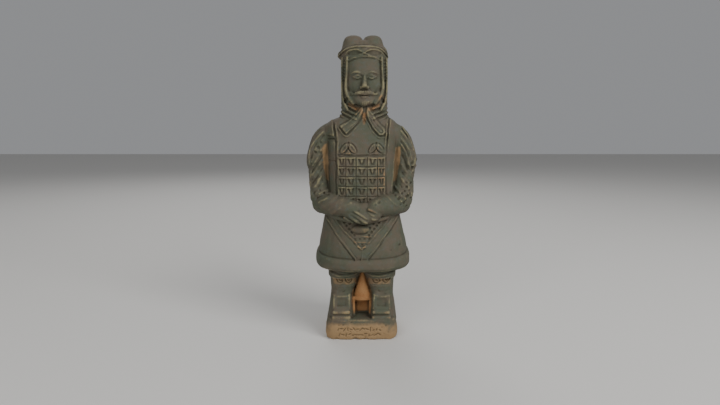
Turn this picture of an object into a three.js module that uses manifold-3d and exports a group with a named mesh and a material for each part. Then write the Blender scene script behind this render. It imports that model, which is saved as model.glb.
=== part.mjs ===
// Press-moulded fired-clay figurine of a standing armoured general on a low clay base.
// Units are millimetres, +Z is up and the figure faces -Y. The origin is the centre of the base's underside.
// The figure and its base are one piece of clay: every form below is joined into one closed solid.
import * as THREE from "three";
import { mergeVertices } from "three/addons/utils/BufferGeometryUtils.js";
import Module from "manifold-3d";

const wasm = await Module();
wasm.setup();

// ---------------------------------------------------------------- driving dimensions
const HEIGHT = 200;
const BASE_TOP = 0.07 * HEIGHT;
const HEM_Z = 0.232 * HEIGHT;
const WAIST_Z = 0.43 * HEIGHT;
const CHEST_Z = 0.61 * HEIGHT;
const SHOULDER_Z = 0.71 * HEIGHT;
const CHIN_Z = 0.774 * HEIGHT;
const CAP_Z = 0.918 * HEIGHT;

const SHOULDER_HALF_SPAN = 37;
const HEM_HALF_WIDTH = 32;
const CHEST_HALF_WIDTH = 22.8;
const HEAD_HALF_WIDTH = 15.4;
const LEG_OUTER_X = 22;

// The skirt and the head stand a little to the figure's left of the base's centre.
const SKIRT_X = 0.9;
const HEAD_X = 1.8;

const BOTH_SIDES = [-1, 1];

// ---------------------------------------------------------------- solids from three.js geometry
function toSolid(geometry) {
  const bare = new THREE.BufferGeometry();
  bare.setAttribute("position", geometry.getAttribute("position"));
  bare.setIndex(geometry.index);
  const merged = mergeVertices(bare, 1e-4);
  const mesh = new wasm.Mesh({
    numProp: 3,
    vertProperties: new Float32Array(merged.attributes.position.array),
    triVerts: new Uint32Array(merged.index.array),
  });
  return new wasm.Manifold(mesh);
}

function toGeometry(solid) {
  const mesh = solid.getMesh();
  const geometry = new THREE.BufferGeometry();
  geometry.setAttribute("position", new THREE.BufferAttribute(new Float32Array(mesh.vertProperties), 3));
  geometry.setIndex(new THREE.BufferAttribute(new Uint32Array(mesh.triVerts), 1));
  return geometry.toNonIndexed();
}

function join(solids) {
  return solids.reduce((whole, next) => whole.add(next));
}

function cubicThrough(stations, keys) {
  const places = stations.map((_, index) => index);
  const values = stations.flatMap((station) => keys.map((key) => station[key] ?? 0));
  const spline = new THREE.CubicInterpolant(places, values, keys.length);
  return (place) => {
    const row = spline.evaluate(Math.min(Math.max(place, 0), stations.length - 1));
    return Object.fromEntries(keys.map((key, index) => [key, row[index]]));
  };
}

// A body of rounded-rectangle sections, one ring at each station and `steps` rings from each to the next.
// A station gives its height z, its centre x and y, its half width and its depth to the front and back.
// `power` 2 is an ellipse and 4 nearly a rectangle; `grow` swells every section by that much.
// `drop` lowers each ring towards the front, by that share of its distance from the middle.
function loft(stations, { sides, steps = 1, power = 2.4, grow = 0, drop = 0 }) {
  const spans = stations.length - 1;
  const at = cubicThrough(stations, ["z", "x", "y", "half", "front", "back"]);
  const geometry = new THREE.CylinderGeometry(1, 1, 1, sides, spans * steps);
  const position = geometry.attributes.position;
  for (let i = 0; i < position.count; i += 1) {
    const ring = at((position.getY(i) + 0.5) * spans);
    const across = position.getX(i);
    const along = position.getZ(i);
    const reach = Math.hypot(across, along);
    const square = (Math.abs(across) ** power + Math.abs(along) ** power) ** (1 / power);
    const scale = reach < 0.5 ? 0 : 1 / square;
    const depth = along < 0 ? ring.back : ring.front;
    position.setXYZ(
      i,
      ring.x + (ring.half + grow) * across * scale,
      ring.y - (depth + grow) * along * scale,
      ring.z - drop * (depth + grow) * along * scale,
    );
  }
  return toSolid(geometry);
}

// A limb with rounded ends along a curve. `wide` is its half size across `side`, `deep` the other way.
function limb(points, { sides = 12, rings = 10, side = [0, 1, 0], bluntness = 4 }) {
  const curve = new THREE.CatmullRomCurve3(points.map((p) => new THREE.Vector3(...p.at)));
  const size = cubicThrough(points, ["wide", "deep"]);
  const geometry = new THREE.SphereGeometry(1, sides, rings);
  const position = geometry.attributes.position;
  const guide = new THREE.Vector3(...side);
  const last = points.length - 1;
  for (let i = 0; i < position.count; i += 1) {
    const share = THREE.MathUtils.clamp((1 - position.getY(i)) / 2, 0, 1);
    const centre = curve.getPoint(share);
    const tangent = curve.getTangent(share);
    const across = new THREE.Vector3().crossVectors(guide, tangent).normalize();
    const deep = new THREE.Vector3().crossVectors(tangent, across);
    const ring = Math.hypot(position.getX(i), position.getZ(i));
    const blunt = Math.max(0, 1 - Math.abs(2 * share - 1) ** bluntness) ** (1 / bluntness);
    const scale = ring < 1e-6 ? 0 : blunt / ring;
    const { wide, deep: depth } = size(share * last);
    centre.addScaledVector(across, position.getX(i) * scale * wide);
    centre.addScaledVector(deep, position.getZ(i) * scale * depth);
    position.setXYZ(i, centre.x, centre.y, centre.z);
  }
  return toSolid(geometry);
}

function ball([x, y, z], [rx, ry, rz], sides = 12, rings = 8) {
  const geometry = new THREE.SphereGeometry(1, sides, rings);
  geometry.scale(rx, rz, ry).rotateX(Math.PI / 2).translate(x, y, z);
  return toSolid(geometry);
}

function block([x0, x1], [y0, y1], [z0, z1]) {
  const geometry = new THREE.BoxGeometry(x1 - x0, y1 - y0, z1 - z0);
  geometry.translate((x0 + x1) / 2, (y0 + y1) / 2, (z0 + z1) / 2);
  return toSolid(geometry);
}

// A flat outline in X and Z, carried straight through along Y, as a mould cutter draws it.
function prism(outline, [y0, y1]) {
  const shape = outline instanceof THREE.Shape
    ? outline
    : new THREE.Shape(outline.map(([x, z]) => new THREE.Vector2(x, z)));
  const options = { depth: y1 - y0, bevelEnabled: false, curveSegments: 4 };
  const geometry = new THREE.ExtrudeGeometry(shape, options);
  geometry.rotateX(Math.PI / 2).translate(0, y1, 0);
  return toSolid(geometry);
}

function strip(from, to, halfWidth) {
  const run = new THREE.Vector2(to[0] - from[0], to[1] - from[1]).normalize().multiplyScalar(halfWidth);
  return [
    [from[0] - run.y, from[1] + run.x],
    [to[0] - run.y, to[1] + run.x],
    [to[0] + run.y, to[1] - run.x],
    [from[0] + run.y, from[1] - run.x],
  ];
}

const mirrored = (outline, side) => outline.map(([x, z]) => [x * side, z]);

const FRONT = [-60, -2];
const BACK = [2, 60];
const THROUGH = [-60, 60];

// ---------------------------------------------------------------- base, legs and boots
const BASE_STATIONS = [
  { z: 0, half: 24.4, front: 22.4, back: 22.4 },
  { z: 0.3 * BASE_TOP, half: 24.6, front: 22.6, back: 22.6 },
  { z: BASE_TOP - 1, half: 23.2, front: 21.8, back: 21.6 },
  { z: BASE_TOP, half: 22.4, front: 21, back: 20.8 },
];

const LEG = {
  top: HEM_Z + 6,
  innerAtFoot: 6.6,
  front: 17.5,
  back: 16.5,
};

function legStations(side) {
  const heights = [BASE_TOP - 4, BASE_TOP + 5, BASE_TOP + 13, BASE_TOP + 23, BASE_TOP + 31, LEG.top];
  const inner = [0, 0, -0.6, -3.8, -6.2, -6.2].map((step) => LEG.innerAtFoot + step);
  const outer = [2, 0.8, -0.4, 0, 0.6, 2].map((step) => LEG_OUTER_X + step);
  return heights.map((z, i) => ({
    z,
    x: SKIRT_X / 2 + (side * (inner[i] + outer[i])) / 2,
    half: (outer[i] - inner[i]) / 2,
    front: LEG.front,
    back: LEG.back,
  }));
}

function boot(side) {
  const x = SKIRT_X / 2 + side * 14.2;
  const across = (half) => [x - half, x + half];
  const shell = loft(
    [
      { z: BASE_TOP - 2, x, half: 7.8, front: 20, back: 4 },
      { z: BASE_TOP + 5, x, half: 7.4, front: 19.6, back: 4 },
      { z: BASE_TOP + 12.6, x, half: 7.2, front: 19, back: 4 },
      { z: BASE_TOP + 14.4, x, half: 6.6, front: 17, back: 3 },
    ],
    { sides: 12, power: 5 },
  );
  const panel = block(across(5.2), [-30, -17.4], [BASE_TOP + 0.4, BASE_TOP + 12]);
  const bars = [
    block(across(5.8), [-21, -12], [BASE_TOP - 1, BASE_TOP + 2.5]),
    block(across(5.6), [-20.2, -12], [BASE_TOP + 3.5, BASE_TOP + 6]),
  ];
  return join([shell.subtract(panel), ...bars]);
}

function trouserCuff(side) {
  const x = SKIRT_X / 2 + side * 11.6;
  const puff = loft(
    [
      { z: HEM_Z - 9.4, x: x + side * 0.9, half: 9.4, front: 17.2, back: 15 },
      { z: HEM_Z - 6.4, x, half: 11.2, front: 19.4, back: 17 },
      { z: HEM_Z + 1, x, half: 11.6, front: 18.6, back: 16 },
    ],
    { sides: 12, power: 3 },
  );
  const drops = [-4, 3.6].map((shift) => ball([x + side * shift, -17, BASE_TOP + 22], [2.4, 1.8, 1.7], 6, 3));
  return join([puff, ...drops]);
}

function legs() {
  const shanks = BOTH_SIDES.map((side) => loft(legStations(side), { sides: 12, power: 3.4 }));
  const web = block([-9, 10], [-8.5, 13.5], [BASE_TOP - 2, LEG.top]);
  const tongue = limb(
    [
      { at: [SKIRT_X / 2 + 0.3, -9.5, HEM_Z - 1], wide: 1.6, deep: 3 },
      { at: [SKIRT_X / 2 + 0.4, -10, 35], wide: 5, deep: 4 },
      { at: [SKIRT_X / 2 + 0.5, -9, 25], wide: 7.4, deep: 4 },
    ],
    { sides: 8, rings: 5, bluntness: 6 },
  );
  const niche = block([-3.6, 4.6], [-20, 0], [BASE_TOP + 0.6, 23.5]);
  const standing = join([...shanks, web, tongue]).subtract(niche);
  return join([standing, ...BOTH_SIDES.map(boot), ...BOTH_SIDES.map(trouserCuff)]);
}

// ---------------------------------------------------------------- robe, hem and apron
const ROBE_STATIONS = [
  { z: HEM_Z + 2, x: SKIRT_X, half: 28.6, front: 24.5, back: 22.5 },
  { z: HEM_Z + 12, x: SKIRT_X, half: 30.4, front: 25.4, back: 23.2 },
  { z: 72, x: 0.7, half: 28, front: 23.4, back: 21 },
  { z: WAIST_Z, x: 0.4, half: 25, front: 21.6, back: 19 },
  { z: 103, x: 0.2, half: CHEST_HALF_WIDTH, front: 20.4, back: 17.4 },
  { z: CHEST_Z, x: 0, half: CHEST_HALF_WIDTH, front: 19.4, back: 17.2 },
  { z: 134, x: 0, half: 23.4, front: 17.2, back: 16.6 },
  { z: SHOULDER_Z - 1, x: 0.2, half: 23.6, front: 14.8, back: 15 },
  { z: SHOULDER_Z + 3, x: 0.8, half: 21, front: 13.2, back: 13.6 },
  { z: SHOULDER_Z + 6.5, x: 1.4, half: 17.2, front: 12.2, back: 12.8 },
  { z: SHOULDER_Z + 10, x: HEAD_X, half: 15.4, front: 11.4, back: 12.4 },
  { z: CHIN_Z + 4, x: HEAD_X, half: 14.6, front: 10, back: 12 },
];

const robe = (grow = 0) => loft(ROBE_STATIONS, { sides: 28, power: 2.5, grow });

const press = (outline, depth, grow) => prism(outline, depth).intersect(robe(grow));

function rolledHem() {
  const bulge = [
    [HEM_Z, -4],
    [HEM_Z + 1.4, -1],
    [HEM_Z + 4.5, 0.3],
    [HEM_Z + 8, -0.2],
    [HEM_Z + 10, -2.4],
  ];
  const stations = bulge.map(([z, out]) => ({
    z,
    x: SKIRT_X,
    half: HEM_HALF_WIDTH + out,
    front: HEM_HALF_WIDTH - 4.4 + out,
    back: HEM_HALF_WIDTH - 6.4 + out,
  }));
  return loft(stations, { sides: 28, power: 2.5 });
}

// Two bands that run down from under the sleeves and meet above the hem, with scales between them.
function apron() {
  const tipZ = HEM_Z + 10;
  const bands = BOTH_SIDES.map((side) =>
    press(mirrored([[0, tipZ - 1], [0, tipZ + 5.6], [17, 83], [22.6, 83]], side), FRONT, 1.1));
  const scale = (side, row) => {
    const lift = row * 1.2;
    return strip([side * (10.5 + row), 76 + lift], [side * (13.4 + row), 80 + lift], 1);
  };
  const scales = [-1.5, 1.5].flatMap((row) => BOTH_SIDES.map((side) => press(scale(side, row), FRONT, 0.9)));
  const knot = ball([SKIRT_X - 0.4, -23.2, 76.2], [5.8, 2.6, 3.2], 10, 6);
  const bars = [
    press(strip([-6.4, 70.6], [6.4, 70.6], 0.9), FRONT, 1),
    press(strip([-4.2, 67], [4.2, 67], 0.9), FRONT, 1),
  ];
  return join([...bands, ...scales, knot, ...bars]);
}

// ---------------------------------------------------------------- armour, straps, ribbons and scarf
const ARMOUR = { half: 15.3, top: CHEST_Z - 0.4, rows: 5, rowPitch: 6.2, relief: 1.2, gap: 0.9 };

// Laced plates in rows; one column leaves the rows plain, as on the back.
function plateRows(depth, columns) {
  const pitch = (2 * ARMOUR.half) / columns;
  const bottom = ARMOUR.top - ARMOUR.rows * ARMOUR.rowPitch;
  const corner = 5;
  const panel = press(
    [
      [-ARMOUR.half, ARMOUR.top],
      [ARMOUR.half, ARMOUR.top],
      [ARMOUR.half, bottom + corner],
      [ARMOUR.half - corner, bottom],
      [corner - ARMOUR.half, bottom],
      [-ARMOUR.half, bottom + corner],
    ],
    depth,
    ARMOUR.relief,
  );
  const joints = [];
  for (let row = 1; row < ARMOUR.rows; row += 1) {
    const z = ARMOUR.top - row * ARMOUR.rowPitch;
    joints.push(strip([-ARMOUR.half - 1, z], [ARMOUR.half + 1, z], ARMOUR.gap / 2));
  }
  for (let column = 1; column < columns; column += 1) {
    const x = column * pitch - ARMOUR.half;
    joints.push(strip([x, bottom - 1], [x, ARMOUR.top + 1], ARMOUR.gap / 2));
  }
  const grooves = join(joints.map((outline) => prism(outline, depth))).subtract(robe(0.2));
  return panel.subtract(grooves);
}

// A pair of drop-shaped tassels spread from one point on each side of the chest.
function tassels() {
  const top = CHEST_Z + 8.6;
  const leaf = [[-0.4, 0.2], [2.2, -1.4], [3.6, -5], [2.6, -6.8], [1.2, -6.4], [0.3, -3.4]];
  const drop = (x, lean) => leaf.map(([across, down]) => [x + lean * across, top + down]);
  return BOTH_SIDES.flatMap((side) => BOTH_SIDES.map((lean) => press(drop(side * 9.5, lean), FRONT, 1.5)));
}

// Shoulder straps of the breastplate, front and back in one, over the shoulders.
function straps() {
  return BOTH_SIDES.map((side) =>
    press(mirrored([[15.6, 92], [15.6, 150], [22.4, 150], [21.6, 92]], side), THROUGH, 1.3));
}

function ribbons() {
  const left = [
    { at: [-0.4, -12.6, 155], wide: 1.9, deep: 2.4 },
    { at: [-5, -14.4, 147.5], wide: 3, deep: 2.4 },
    { at: [-11.8, -15, 138.8], wide: 3.7, deep: 2.2 },
  ];
  const right = [
    { at: [4, -12.6, 155], wide: 1.9, deep: 2.4 },
    { at: [8, -14.4, 146], wide: 3.2, deep: 2.4 },
    { at: [13.2, -14.8, 137], wide: 3.5, deep: 2.2 },
  ];
  return [left, right].map((points) => limb(points, { sides: 8, rings: 5, bluntness: 8 }));
}

// A scarf wound three times round the neck, lower at the throat than at the nape.
function scarf() {
  const turns = 3;
  const pitch = 3.2;
  const drop = 0.2;
  const stations = [];
  for (let i = 0; i <= 2 * turns; i += 1) {
    const swell = 0.4 * (2 * turns - i) + (i % 2 ? 1.7 : 0);
    const z = CHIN_Z - 2.4 + (i - turns) * pitch / 2;
    stations.push({ z, x: HEAD_X, y: 0.4, half: 14 + swell, front: 11 + swell, back: 12 + swell });
  }
  return loft(stations, { sides: 12, power: 2.3, drop });
}

// ---------------------------------------------------------------- sleeves and hands
function sleeve(side) {
  const out = (x) => side * x;
  const guard = limb(
    [
      { at: [out(15), 0.4, 140.5], wide: 6.4, deep: 8 },
      { at: [out(25), 0.4, 133], wide: 7.8, deep: 9.2 },
      { at: [out(SHOULDER_HALF_SPAN - 6.9), 0.2, 121.5], wide: 6.9, deep: 9.4 },
      { at: [out(SHOULDER_HALF_SPAN - 6.9), 0, 113.5], wide: 6.9, deep: 9.2 },
    ],
    { sides: 12, rings: 7, bluntness: 8 },
  );
  const lower = limb(
    [
      { at: [out(SHOULDER_HALF_SPAN - 7.4), 0, 121], wide: 6.2, deep: 8.8 },
      { at: [out(SHOULDER_HALF_SPAN - 8), -1.2, 107], wide: 6.6, deep: 9 },
      { at: [out(27), -4.4, 95.5], wide: 7.6, deep: 9 },
      { at: [out(25.6), -7, 87.6], wide: 5.6, deep: 7.6 },
    ],
    { sides: 10, rings: 6, bluntness: 5 },
  );
  const forearm = limb(
    [
      { at: [out(26), -6.4, 91], wide: 8, deep: 7.6 },
      { at: [out(19), -16.5, 90.4], wide: 7.6, deep: 7.2 },
      { at: [out(9), -23, 90], wide: 6, deep: 6.4 },
      { at: [out(2), -25.4, 89.6], wide: 4.2, deep: 5.2 },
    ],
    { sides: 10, rings: 6, side: [0, 0, 1], bluntness: 5 },
  );
  const web = block(side < 0 ? [-28, -17] : [17, 28], [-8, 4], [94, 132]);
  return join([guard, lower, forearm, web]);
}

function hands() {
  const under = limb(
    [
      { at: [-8, -26, 88], wide: 4, deep: 4.4 },
      { at: [0, -28.4, 85.4], wide: 3.6, deep: 4 },
      { at: [6.4, -28, 81.6], wide: 2.4, deep: 2.4 },
    ],
    { sides: 8, rings: 5, side: [0, 0, 1] },
  );
  const over = ball([6.6, -28.6, 88.4], [6.4, 4, 4.8], 10, 5);
  const fingers = [0, 1, 2, 3].map((finger) => {
    const x = 1.4 + finger * 2.3;
    return limb(
      [
        { at: [x + 2.6, -30.6, 87.4 - finger * 0.3], wide: 1.5, deep: 1.6 },
        { at: [x, -30.4, 84], wide: 1.5, deep: 1.7 },
        { at: [x - 1.8, -28.8, 81.4 + finger * 0.2], wide: 1.2, deep: 1.5 },
      ],
      { sides: 6, rings: 3 },
    );
  });
  return join([under, over, ...fingers]);
}

// ---------------------------------------------------------------- head, face and cap
const HEAD_STATIONS = [
  { z: SHOULDER_Z + 8, x: HEAD_X, half: HEAD_HALF_WIDTH, front: 9.6, back: 12.6 },
  { z: 162, x: HEAD_X, half: HEAD_HALF_WIDTH, front: 10.8, back: 14.6 },
  { z: 174, x: HEAD_X, half: HEAD_HALF_WIDTH + 0.2, front: 11.6, back: 15.6 },
  { z: CAP_Z + 1, x: HEAD_X, half: HEAD_HALF_WIDTH, front: 12.6, back: 14.8 },
  { z: CAP_Z + 7, x: HEAD_X, half: HEAD_HALF_WIDTH - 1.4, front: 11.4, back: 12.4 },
  { z: CAP_Z + 9.6, x: HEAD_X, half: HEAD_HALF_WIDTH - 3.6, front: 8.4, back: 9.6 },
];

// The face runs in equal thirds from chin to nose base, nose base to brows, brows to the cap's band.
const FACE_HEIGHT = CAP_Z - CHIN_Z;
const NOSE_BASE_Z = CHIN_Z + FACE_HEIGHT / 3;
const BROW_Z = CHIN_Z + (2 * FACE_HEIGHT) / 3;
const EYE_Z = CHIN_Z + 0.58 * FACE_HEIGHT;
const MOUTH_Z = CHIN_Z + 0.22 * FACE_HEIGHT;
const FACE_STATIONS = [
  { z: CHIN_Z - 0.8, x: HEAD_X, half: 3, front: 11, back: 0 },
  { z: CHIN_Z + 1.4, x: HEAD_X, half: 6.4, front: 15.2, back: 0 },
  { z: MOUTH_Z, x: HEAD_X, half: 9.2, front: 16.4, back: 0 },
  { z: EYE_Z - 3, x: HEAD_X, half: 10.8, front: 16.6, back: 0 },
  { z: BROW_Z, x: HEAD_X, half: 11.2, front: 16.8, back: 0 },
  { z: CAP_Z + 2, x: HEAD_X, half: 10.8, front: 14.8, back: 0 },
];

function face() {
  const skull = loft(FACE_STATIONS, { sides: 16, power: 2.3 });
  const nose = limb(
    [
      { at: [HEAD_X, -16, BROW_Z + 0.5], wide: 1.2, deep: 1.4 },
      { at: [HEAD_X, -17.6, EYE_Z - 1.5], wide: 1.4, deep: 1.6 },
      { at: [HEAD_X, -18.4, NOSE_BASE_Z + 0.8], wide: 2.5, deep: 2 },
    ],
    { sides: 8, rings: 5 },
  );
  const paired = BOTH_SIDES.flatMap((side) => {
    const x = (offset) => HEAD_X + side * offset;
    const brow = limb(
      [
        { at: [x(1.8), -16.6, BROW_Z], wide: 0.7, deep: 0.8 },
        { at: [x(5), -15.9, BROW_Z + 1.2], wide: 0.8, deep: 0.9 },
        { at: [x(8.4), -13.4, BROW_Z], wide: 0.6, deep: 0.8 },
      ],
      { sides: 6, rings: 4, side: [0, 0, 1] },
    );
    const eye = ball([x(4.7), -15.3, EYE_Z], [2.5, 1.3, 1.1], 8, 4);
    const moustache = limb(
      [
        { at: [x(0.4), -17.3, NOSE_BASE_Z - 1.7], wide: 0.9, deep: 1.2 },
        { at: [x(3.6), -16.7, NOSE_BASE_Z - 2.2], wide: 1.1, deep: 1.2 },
        { at: [x(7.6), -13.9, NOSE_BASE_Z - 3.6], wide: 0.6, deep: 1 },
      ],
      { sides: 6, rings: 4, side: [0, 0, 1] },
    );
    return [brow, eye, moustache];
  });
  const lips = ball([HEAD_X, -16.2, MOUTH_Z], [3, 1.5, 1.3], 8, 4);
  const beard = ball([HEAD_X, -14.8, CHIN_Z + 2], [3.4, 2.6, 2.8], 8, 4);
  return join([skull, nose, ...paired, lips, beard]);
}

function cap() {
  const band = loft(
    [
      { z: CAP_Z - 0.8, x: HEAD_X, half: 14.8, front: 14.8, back: 14.8 },
      { z: CAP_Z + 0.8, x: HEAD_X, half: 15.5, front: 15.8, back: 15.6 },
      { z: CAP_Z + 6.6, x: HEAD_X, half: 14.9, front: 14, back: 14 },
      { z: CAP_Z + 8.6, x: HEAD_X, half: 13.6, front: 11.4, back: 12.4 },
    ],
    { sides: 20, power: 2.3 },
  );
  const lobes = BOTH_SIDES.map((side) => {
    const x = HEAD_X + side * 6.5;
    const stations = [
      { z: CAP_Z + 5, x, half: 7, front: 9.4, back: 9.4 },
      { z: HEIGHT - 5, x, half: 6.8, front: 8, back: 8 },
      { z: HEIGHT - 1.6, x, half: 5.6, front: 6, back: 6 },
      { z: HEIGHT, x, half: 3, front: 3, back: 3 },
    ];
    return loft(stations, { sides: 10, power: 2.5 });
  });
  const arches = BOTH_SIDES.map((side) => {
    const points = [[13.4, -8.4, 0.4], [7.6, -14, 5.4], [0, -15.4, 4.2], [-5, -15, 1.4]];
    return limb(
      points.map(([x, y, z]) => ({ at: [HEAD_X + side * x, y, CAP_Z + z], wide: 0.8, deep: 1 })),
      { sides: 4, rings: 4, side: [0, 0, 1] },
    );
  });
  const sides = BOTH_SIDES.flatMap((side) => {
    const knob = ball([HEAD_X + side * 14.8, -0.6, CAP_Z + 4.6], [2.4, 3, 2.8], 6, 4);
    const tie = limb(
      [
        { at: [HEAD_X + side * 12.6, -10.6, CAP_Z], wide: 1.6, deep: 1.8 },
        { at: [HEAD_X + side * 13, -9.8, 171], wide: 1.6, deep: 1.8 },
        { at: [HEAD_X + side * 10.6, -11.2, 161.5], wide: 1.5, deep: 1.8 },
        { at: [HEAD_X + side * 4.6, -12.4, CHIN_Z - 1.4], wide: 1.4, deep: 1.8 },
      ],
      { sides: 6, rings: 6 },
    );
    return [knob, tie];
  });
  const hairPlait = limb(
    [
      { at: [HEAD_X, 12.8, 158], wide: 6, deep: 3.4 },
      { at: [HEAD_X, 14.6, 170], wide: 6.6, deep: 3.4 },
      { at: [HEAD_X, 13.2, CAP_Z + 3], wide: 5.6, deep: 3.2 },
    ],
    { sides: 8, rings: 5 },
  );
  return join([band, ...arches, ...lobes, ...sides, hairPlait]);
}

// ---------------------------------------------------------------- the whole figure
function figure() {
  const base = loft(BASE_STATIONS, { sides: 20, power: 6 });
  const head = loft(HEAD_STATIONS, { sides: 20, power: 2.3 });
  return join([
    base,
    legs(),
    robe(),
    rolledHem(),
    apron(),
    plateRows(FRONT, 5),
    plateRows(BACK, 1),
    ...tassels(),
    ...straps(),
    ...ribbons(),
    scarf(),
    ...BOTH_SIDES.map(sleeve),
    hands(),
    head,
    face(),
    cap(),
  ]);
}

const clay = new THREE.MeshStandardMaterial({ color: 0x55574c, roughness: 0.85, metalness: 0 });
const warrior = new THREE.Mesh(toGeometry(figure()), clay);
warrior.name = "warrior_statue";

const group = new THREE.Group();
group.add(warrior);

export default group;
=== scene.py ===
"""A standing armoured general with folded hands, press-moulded in one piece of fired clay on a low base.

The figure is modelled in a block of signed distances, in millimetres: each sub-assembly builds its forms in
a layer of its own, presses its relief into that layer, and the layers are pressed together. Geometry Nodes
cut the dies for what repeats. The skin of the block becomes one closed mesh with attributes for its finish:
wear with painted highlight on the ridges, dirt with painted shade in the hollows, and bare clay.
"""

import logging
import math
from dataclasses import dataclass, field
from enum import Enum
from functools import partialmethod
from typing import Callable, ClassVar, Sequence

import bpy
import numpy as np
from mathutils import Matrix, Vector
from mathutils.bvhtree import BVHTree


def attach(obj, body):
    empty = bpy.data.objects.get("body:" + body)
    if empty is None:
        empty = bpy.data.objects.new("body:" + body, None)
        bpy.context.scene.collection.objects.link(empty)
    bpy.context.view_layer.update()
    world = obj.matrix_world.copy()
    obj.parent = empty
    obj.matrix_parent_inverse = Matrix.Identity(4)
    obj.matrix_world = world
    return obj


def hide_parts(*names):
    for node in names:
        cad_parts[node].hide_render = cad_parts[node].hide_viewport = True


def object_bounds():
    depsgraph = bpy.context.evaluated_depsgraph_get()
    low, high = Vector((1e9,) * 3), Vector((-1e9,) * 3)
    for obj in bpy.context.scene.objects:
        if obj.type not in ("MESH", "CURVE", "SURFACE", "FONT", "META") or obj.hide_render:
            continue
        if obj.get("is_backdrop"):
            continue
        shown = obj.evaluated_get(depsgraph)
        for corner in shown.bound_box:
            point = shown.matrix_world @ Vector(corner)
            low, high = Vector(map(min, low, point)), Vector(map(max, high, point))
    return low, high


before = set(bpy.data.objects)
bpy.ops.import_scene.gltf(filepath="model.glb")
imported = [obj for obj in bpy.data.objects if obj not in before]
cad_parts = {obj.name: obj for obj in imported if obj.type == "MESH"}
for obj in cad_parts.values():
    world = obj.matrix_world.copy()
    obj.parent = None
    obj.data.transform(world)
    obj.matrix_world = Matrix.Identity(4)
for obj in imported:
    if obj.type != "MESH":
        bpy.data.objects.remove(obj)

LOG = logging.getLogger("warrior")

CAD_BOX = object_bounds()

Point = tuple[float, float, float]
Spot = tuple[float, float]
Grid = np.ndarray
Window = tuple[slice, ...]
Socket = bpy.types.NodeSocket
Node = bpy.types.Node
Mesh = bpy.types.Mesh

MM = 0.001

# Heights and middles of the figure, in millimetres.
HEIGHT = 200.0
BASE_TOP = 14.0
CHIN_Z = 154.8
CAP_Z = 183.6
SKIRT_X = 0.9
HEAD_X = 1.8
BOTH_SIDES = (-1, 1)
CORNERS = tuple(np.ndindex(2, 2, 2))
# Distances beyond these are not kept: in the empty block, and round a form that is added.
FAR = 6.0
MARGIN = 3.0
# Where the rays that read a die's mesh start and how far they go.
RAY_START = -50.0
RAY_LENGTH = 60.0


# ---------------------------------------------------------------- soft arithmetic on distances
def ease(value: Grid) -> Grid:
    """Smooth step from 0 to 1 as the value goes from 0 to 1."""
    share = np.clip(value, 0.0, 1.0)
    return share * share * (3.0 - 2.0 * share)


def soft_min(first: Grid, second: Grid, blend: float) -> Grid:
    """Union of two distances.

    Args:
        first: Signed distances of one form.
        second: Those of the other.
        blend: Width of the fillet.

    Returns:
        The distances of both together.
    """
    if blend <= 0:
        return np.minimum(first, second)
    near = np.maximum(blend - np.abs(first - second), 0.0) / blend
    return np.minimum(first, second) - near * near * (blend * 0.25)


def soft_max(first: Grid, second: Grid, blend: float) -> Grid:
    """Overlap of two distances with a rounded edge."""
    return -soft_min(-first, -second, blend)


def through(places: Sequence[float], values: Sequence[float], at: Grid) -> Grid:
    """Smooth curve through values, without overshoot.

    Args:
        places: Rising positions of the values.
        values: The values at those positions.
        at: Positions to read the curve at.

    Returns:
        The curve's value at each position.
    """
    x = np.asarray(places, dtype=np.float64)
    y = np.asarray(values, dtype=np.float64)
    gaps = np.diff(x)
    slopes = np.diff(y) / gaps
    ends = np.zeros(len(x))
    ends[0], ends[-1] = slopes[0], slopes[-1]
    rising = slopes[:-1] * slopes[1:] > 0
    weight_a = 2 * gaps[1:] + gaps[:-1]
    weight_b = gaps[1:] + 2 * gaps[:-1]
    safe_a = np.where(rising, slopes[:-1], 1.0)
    safe_b = np.where(rising, slopes[1:], 1.0)
    middle = (weight_a + weight_b) / (weight_a / safe_a + weight_b / safe_b)
    ends[1:-1] = np.where(rising, middle, 0.0)
    spot = np.clip(np.asarray(at, dtype=np.float64), x[0], x[-1])
    cell = np.clip(np.searchsorted(x, spot, side="right") - 1, 0, len(gaps) - 1)
    share = (spot - x[cell]) / gaps[cell]
    twice, thrice = share * share, share * share * share
    curve = (2 * thrice - 3 * twice + 1) * y[cell] + (thrice - 2 * twice + share) * gaps[cell] * ends[cell]
    curve += (3 * twice - 2 * thrice) * y[cell + 1]
    curve += (thrice - twice) * gaps[cell] * ends[cell + 1]
    return curve.astype(np.float32)


def smooth_points(points: Sequence[Sequence[float]], steps: int) -> Grid:
    """Points along a smooth curve through the given ones.

    Args:
        points: The corners to pass through.
        steps: Pieces between two corners.

    Returns:
        One sampled point per row.
    """
    given = np.array(points, dtype=np.float64)
    padded = np.vstack([2 * given[0] - given[1], given, 2 * given[-1] - given[-2]])
    line = []
    for a, b, c, d in zip(padded, padded[1:], padded[2:], padded[3:]):
        bend, twist = 2 * a - 5 * b + 4 * c - d, 3 * b - a - 3 * c + d
        for share in np.arange(steps) / steps:
            line.append(0.5 * (2 * b + (c - a) * share + bend * share**2 + twist * share**3))
    return np.array([*line, given[-1]])


def smooth_line(points: Sequence[Spot], steps: int = 6) -> Sequence[Spot]:
    """A smooth curve through spots on a board."""
    return points if len(points) < 3 else smooth_points(points, steps).tolist()


def line_gap(points: Sequence[Spot], x: Grid, z: Grid) -> Grid:
    """Distance to a line of points.

    Args:
        points: The line's corners in X and Z.
        x: X of each place.
        z: Z of each place.

    Returns:
        The distance in millimetres.
    """
    result = None
    for (ax, az), (bx, bz) in zip(points[:-1], points[1:]):
        run_x, run_z = bx - ax, bz - az
        length = run_x * run_x + run_z * run_z + 1e-9
        share = np.clip(((x - ax) * run_x + (z - az) * run_z) / length, 0.0, 1.0)
        away = np.hypot(x - ax - share * run_x, z - az - share * run_z)
        result = away if result is None else np.minimum(result, away)
    return result


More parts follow.
